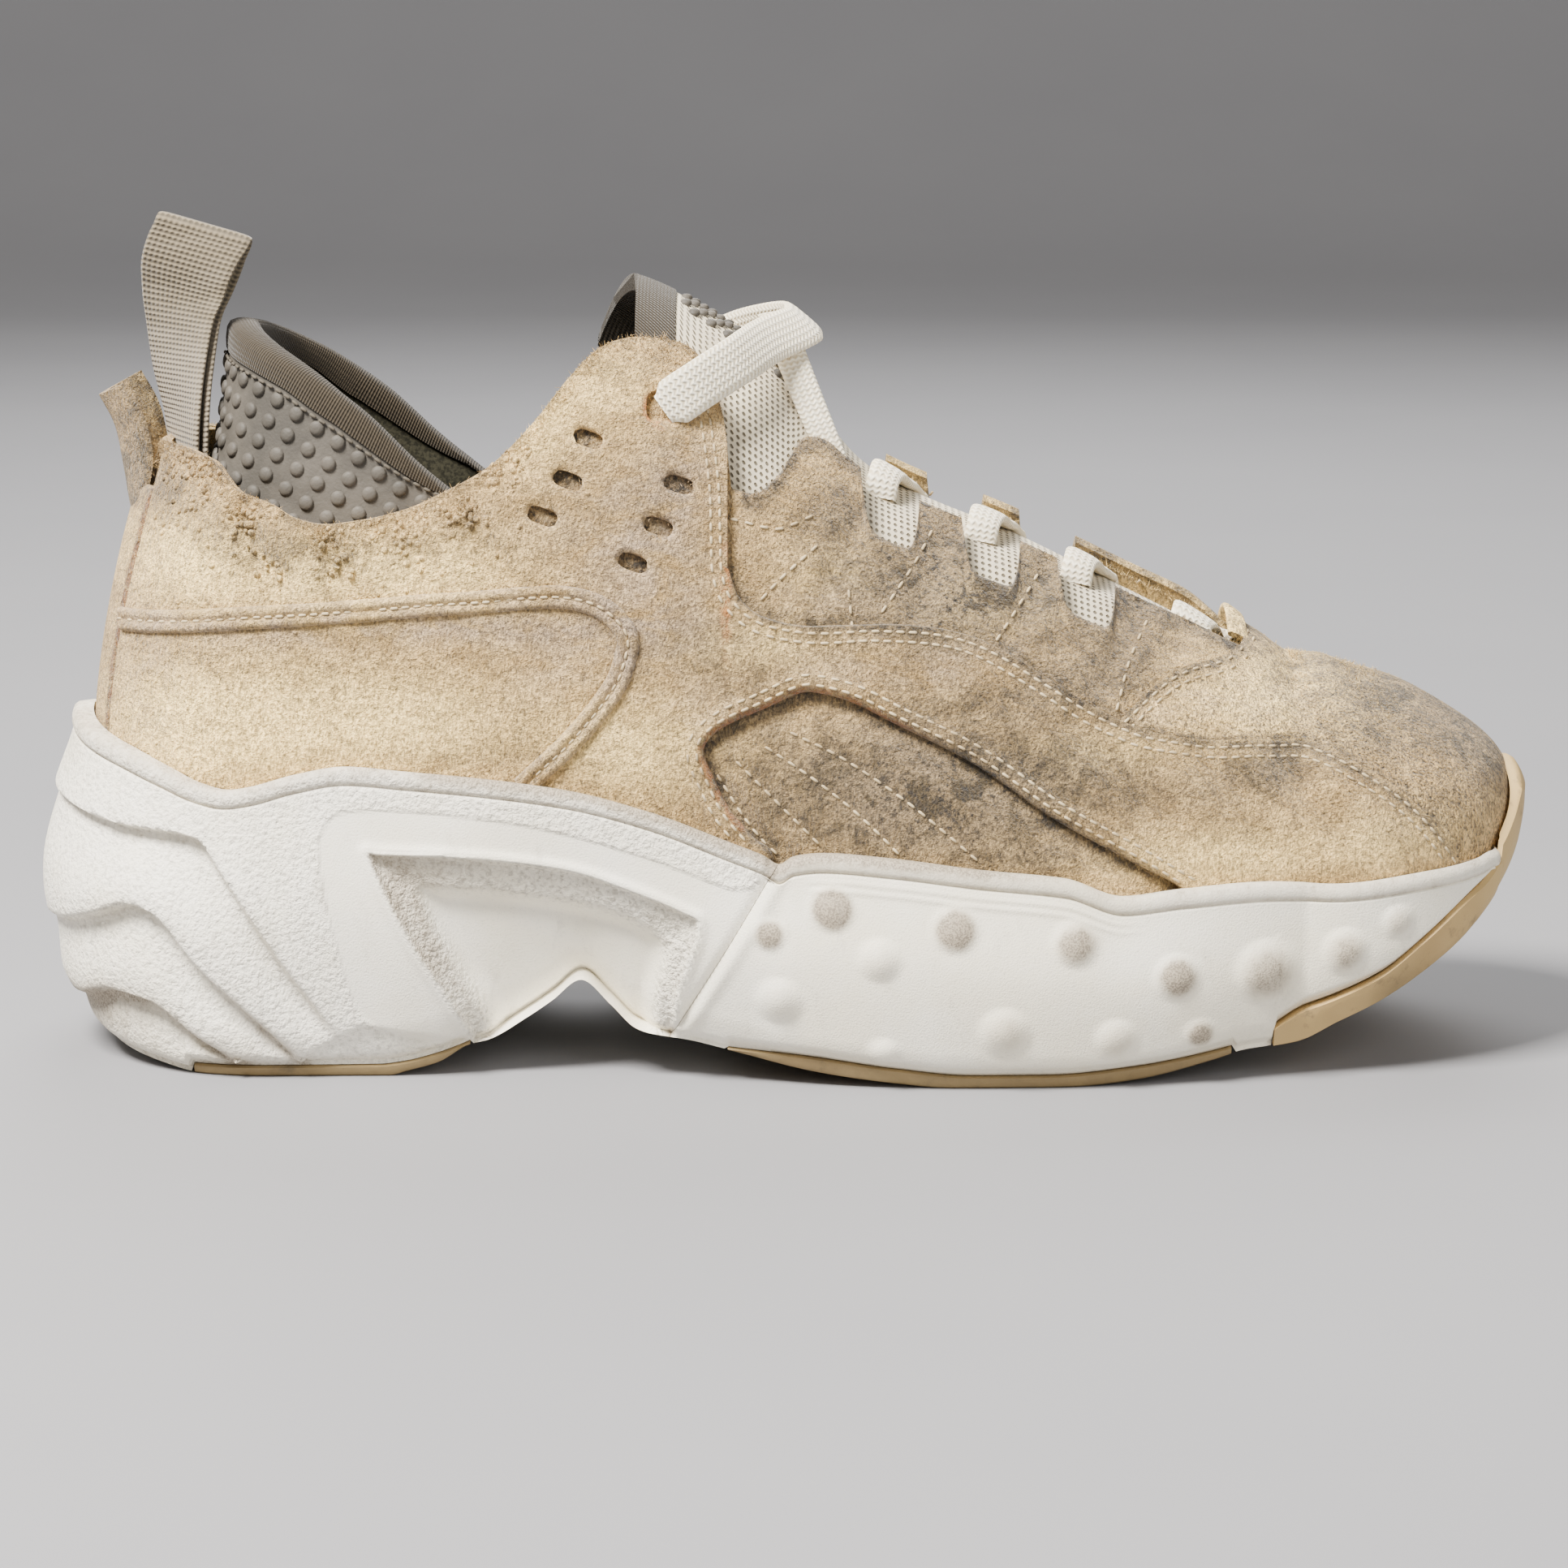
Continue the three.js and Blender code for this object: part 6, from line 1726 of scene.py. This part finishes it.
# Stitch rows: curve, shift to the left of its direction, stand-off, spacing
SEAMS = (
    (WING_SEAM, -1.5, 2.02, 2.5), (WING_SEAM, -3.3, 2.02, 2.5), (WINDOW_SEAM, 1.4, 2.02, 2.5),
    (WINDOW_SEAM, 3.2, 2.02, 2.5), (PIPING_CURVE, 0.0, 2.6, 2.3),
    (VAMP_SEAM, -1.2, 1.45, 2.4), (VAMP_SEAM, -2.8, 1.45, 2.4),
)


def beads(centres, tangents, normals, length, radius):
    """Short closed beads of thread, joined in one mesh."""
    ring = np.linspace(0, 2 * math.pi, 6, endpoint=False)
    rows = ((-0.5, 0.35), (-0.32, 0.95), (0.32, 0.95), (0.5, 0.35))
    flat = np.array([(l, r * math.cos(a), r * math.sin(a)) for l, r in rows for a in ring])
    faces = grid_faces(4, 6, wrap_size=True).tolist() + [list(range(5, -1, -1)), list(range(18, 24))]
    sideways = unit(np.cross(normals, tangents))
    points = centres[:, None] + flat[None, :, :1] * length * tangents[:, None]
    points = points + radius * (flat[None, :, 1:2] * sideways[:, None] + flat[None, :, 2:] * normals[:, None])
    polygons = [[v + k * 24 for v in face] for k in range(len(centres)) for face in faces]
    return points.reshape(-1, 3), polygons


def joined(meshes):
    """One mesh made of several, each given as points and faces."""
    polygons, start = [], 0
    for points, faces in meshes:
        polygons += [[v + start for v in face] for face in faces]
        start += len(points)
    return np.concatenate([points for points, _ in meshes]), polygons


def seam(curve, side, shift, offset, spacing, raised):
    """Stitch places along a side-view curve, on top of the relief of the panel they go through."""
    points, tangent = resample(curve, spacing)
    normal = np.stack([-tangent[:, 1], tangent[:, 0]], axis=1)
    x, z = (points + normal * shift).T
    keep = z > smooth(RIM, np.clip(x, -172, 172)) + 0.5
    along = along_for(x, z, side)
    lift = offset + crease_relief(x, z) + raised(x, z)
    centre = on_side(along, z, side, lift)
    above = on_side(along, z, side, lift + 1.0)
    run = unit(np.gradient(centre, axis=0))
    return centre[keep], run[keep], unit(above - centre)[keep], spacing


thread, wire, shader = new_material("seam_thread", Specular_IOR_Level=0.25)
twist = wire.noise(1200.0, 2.0)
soil = wire.noise(60.0, 3.0)
tone = soil.ramp(0.35, 0.7).mix(rgb(196, 176, 138), rgb(150, 128, 94))
tone = (twist * 0.6).mix(tone, rgb(212, 196, 162))
dress(wire, shader, tone, 0.7 + 0.2 * twist, twist, 0.0002, 0.6)
for name, side in (("lateral", LATERAL), ("medial", MEDIAL)):
    rows = [seam(curve, side, shift, offset, spacing, window_roll) for curve, shift, offset, spacing in SEAMS]
    rows += [seam(curve, side, 0.0, 0.1, 2.6, window_padding) for curve in QUILT]
    meshes = [beads(centre, run, up, 0.68 * spacing, 0.32) for centre, run, up, spacing in rows]
    points, polygons = joined(meshes)
    add_piece("stitches_" + name, points, polygons, thread, ["quarter_" + name], sharp=80)

dark_thread, wire, shader = new_material("cuff_thread", Specular_IOR_Level=0.25)
twist = wire.noise(1200.0, 2.0)
wire.feed(shader.inputs["Base Color"], twist.mix(rgb(66, 61, 54), rgb(96, 90, 80)))
wire.feed(shader.inputs["Roughness"], 0.7 + 0.2 * twist)
line = cuff.rise(BINDING_FROM - 0.05) - cuff.inward * 0.6
length = path_length(line)
at = np.arange(1.5, length[-1] - 1.5, 2.3)
centre = along_line(at, length, line)
outward = unit(along_line(at, length, -cuff.inward))
points, polygons = beads(centre, unit(np.gradient(centre, axis=0)), outward, 1.6, 0.36)
add_piece("stitches_cuff", points, polygons, dark_thread, ["cuff_binding"], sharp=80)

# Nap and pilling
# Worn split suede sheds fibres: short hairs stand along every cut edge and over the toe, and the
# heel collar has balled up into small tufts where it has rubbed.
FIBRE_RADIUS = 0.075
chance = np.random.default_rng(11)


def fibres(roots, normals, lean, shortest, longest):
    """Thin closed spikes, one at each root, leaning off the surface."""
    count = len(roots)
    stray = chance.normal(size=(count, 3))
    aim = unit(normals * lean + stray * 0.75)
    length = chance.uniform(shortest, longest, (count, 1))
    first = unit(np.cross(aim, unit(stray + 0.01)))
    second = np.cross(aim, first)
    base = roots - aim * 0.2
    corners = [base + FIBRE_RADIUS * (first * math.cos(a) + second * math.sin(a)) for a in (0, 2.1, 4.2)]
    points = np.stack(corners + [roots + aim * length], axis=1).reshape(-1, 3)
    faces = np.array([[0, 1, 3], [1, 2, 3], [2, 0, 3], [2, 1, 0]])
    return points, (faces[None] + 4 * np.arange(count)[:, None, None]).reshape(-1, 3).tolist()


def fuzz_roots(along, t, side, offset):
    """Points standing off the wall, and the way out of it there."""
    foot = Foot(along, side)
    root = foot.wall(t, offset)
    return root, unit(foot.wall(t, offset + 1.0) - root)


# Beds of fibres: from, to, count, stand-off, lean, shortest, longest, place
FIBRE_BEDS = (
    (-150, -12, 2300, 1.9, 0.9, 0.5, 2.1, "collar"),
    (-8, 96, 1300, -0.2, 0.8, 0.5, 1.7, "tabs"),
    (100, 172, 2200, 1.3, 0.7, 0.5, 1.4, "toe"),
    (-128, 118, 2600, 1.95, 0.35, 0.4, 1.1, "quarter"),
)
for name, side, amount in (("lateral", LATERAL, 1.0), ("medial", MEDIAL, 0.5)):
    node = ["quarter_" + name]
    beds = []
    for low, high, count, offset, lean, shortest, longest, where in FIBRE_BEDS:
        along = chance.uniform(low, high, int(count * amount))
        foot = Foot(along, side)
        bottom = smooth(RIM, along)
        if where == "collar":
            t = foot.t_at(collar_at(along, side) - np.abs(chance.normal(size=len(along))) * 3.0, high=0.995)
        elif where == "tabs":
            t = upper_top(foot) - np.abs(chance.normal(size=len(along))) * 0.012
        elif where == "toe":
            t = foot.t_at(bottom) + (1 - foot.t_at(bottom)) * chance.uniform(0.1, 0.99, len(along))
        else:
            top = quarter_edge_at(along, side)
            height = bottom + (top - bottom) * chance.uniform(0.02, 0.98, len(along))
            outside = outline_distance(WINDOW, along, height) > 1
            along, t = along[outside], foot.t_at(height, high=0.995)[outside]
        beds.append(fibres(*fuzz_roots(along, t, side, offset), lean, shortest, longest))
    points, polygons = joined(beds)
    masks = soil_masks(points)
    masks["grime_and_shade"] *= 0.5
    add_piece("nap_" + name, points, polygons, suede_quarter, node, masks, sharp=80)

    along = chance.uniform(-142, -50, int(330 * amount))
    depth = np.abs(chance.normal(size=len(along))) * 8 + 0.6
    foot = Foot(along, side)
    roots, normals = fuzz_roots(along, foot.t_at(collar_at(along, side) - depth, high=0.995), side, 1.95)
    size = chance.uniform(0.3, 0.8, (len(along), 1, 1))
    lean = normals + 0.5 * chance.normal(size=normals.shape)
    points, polygons = domes(roots, lean, size, 0.7 * size)
    add_piece("pilling_" + name, points, polygons, suede_quarter, node, soil_masks(points), sharp=80)
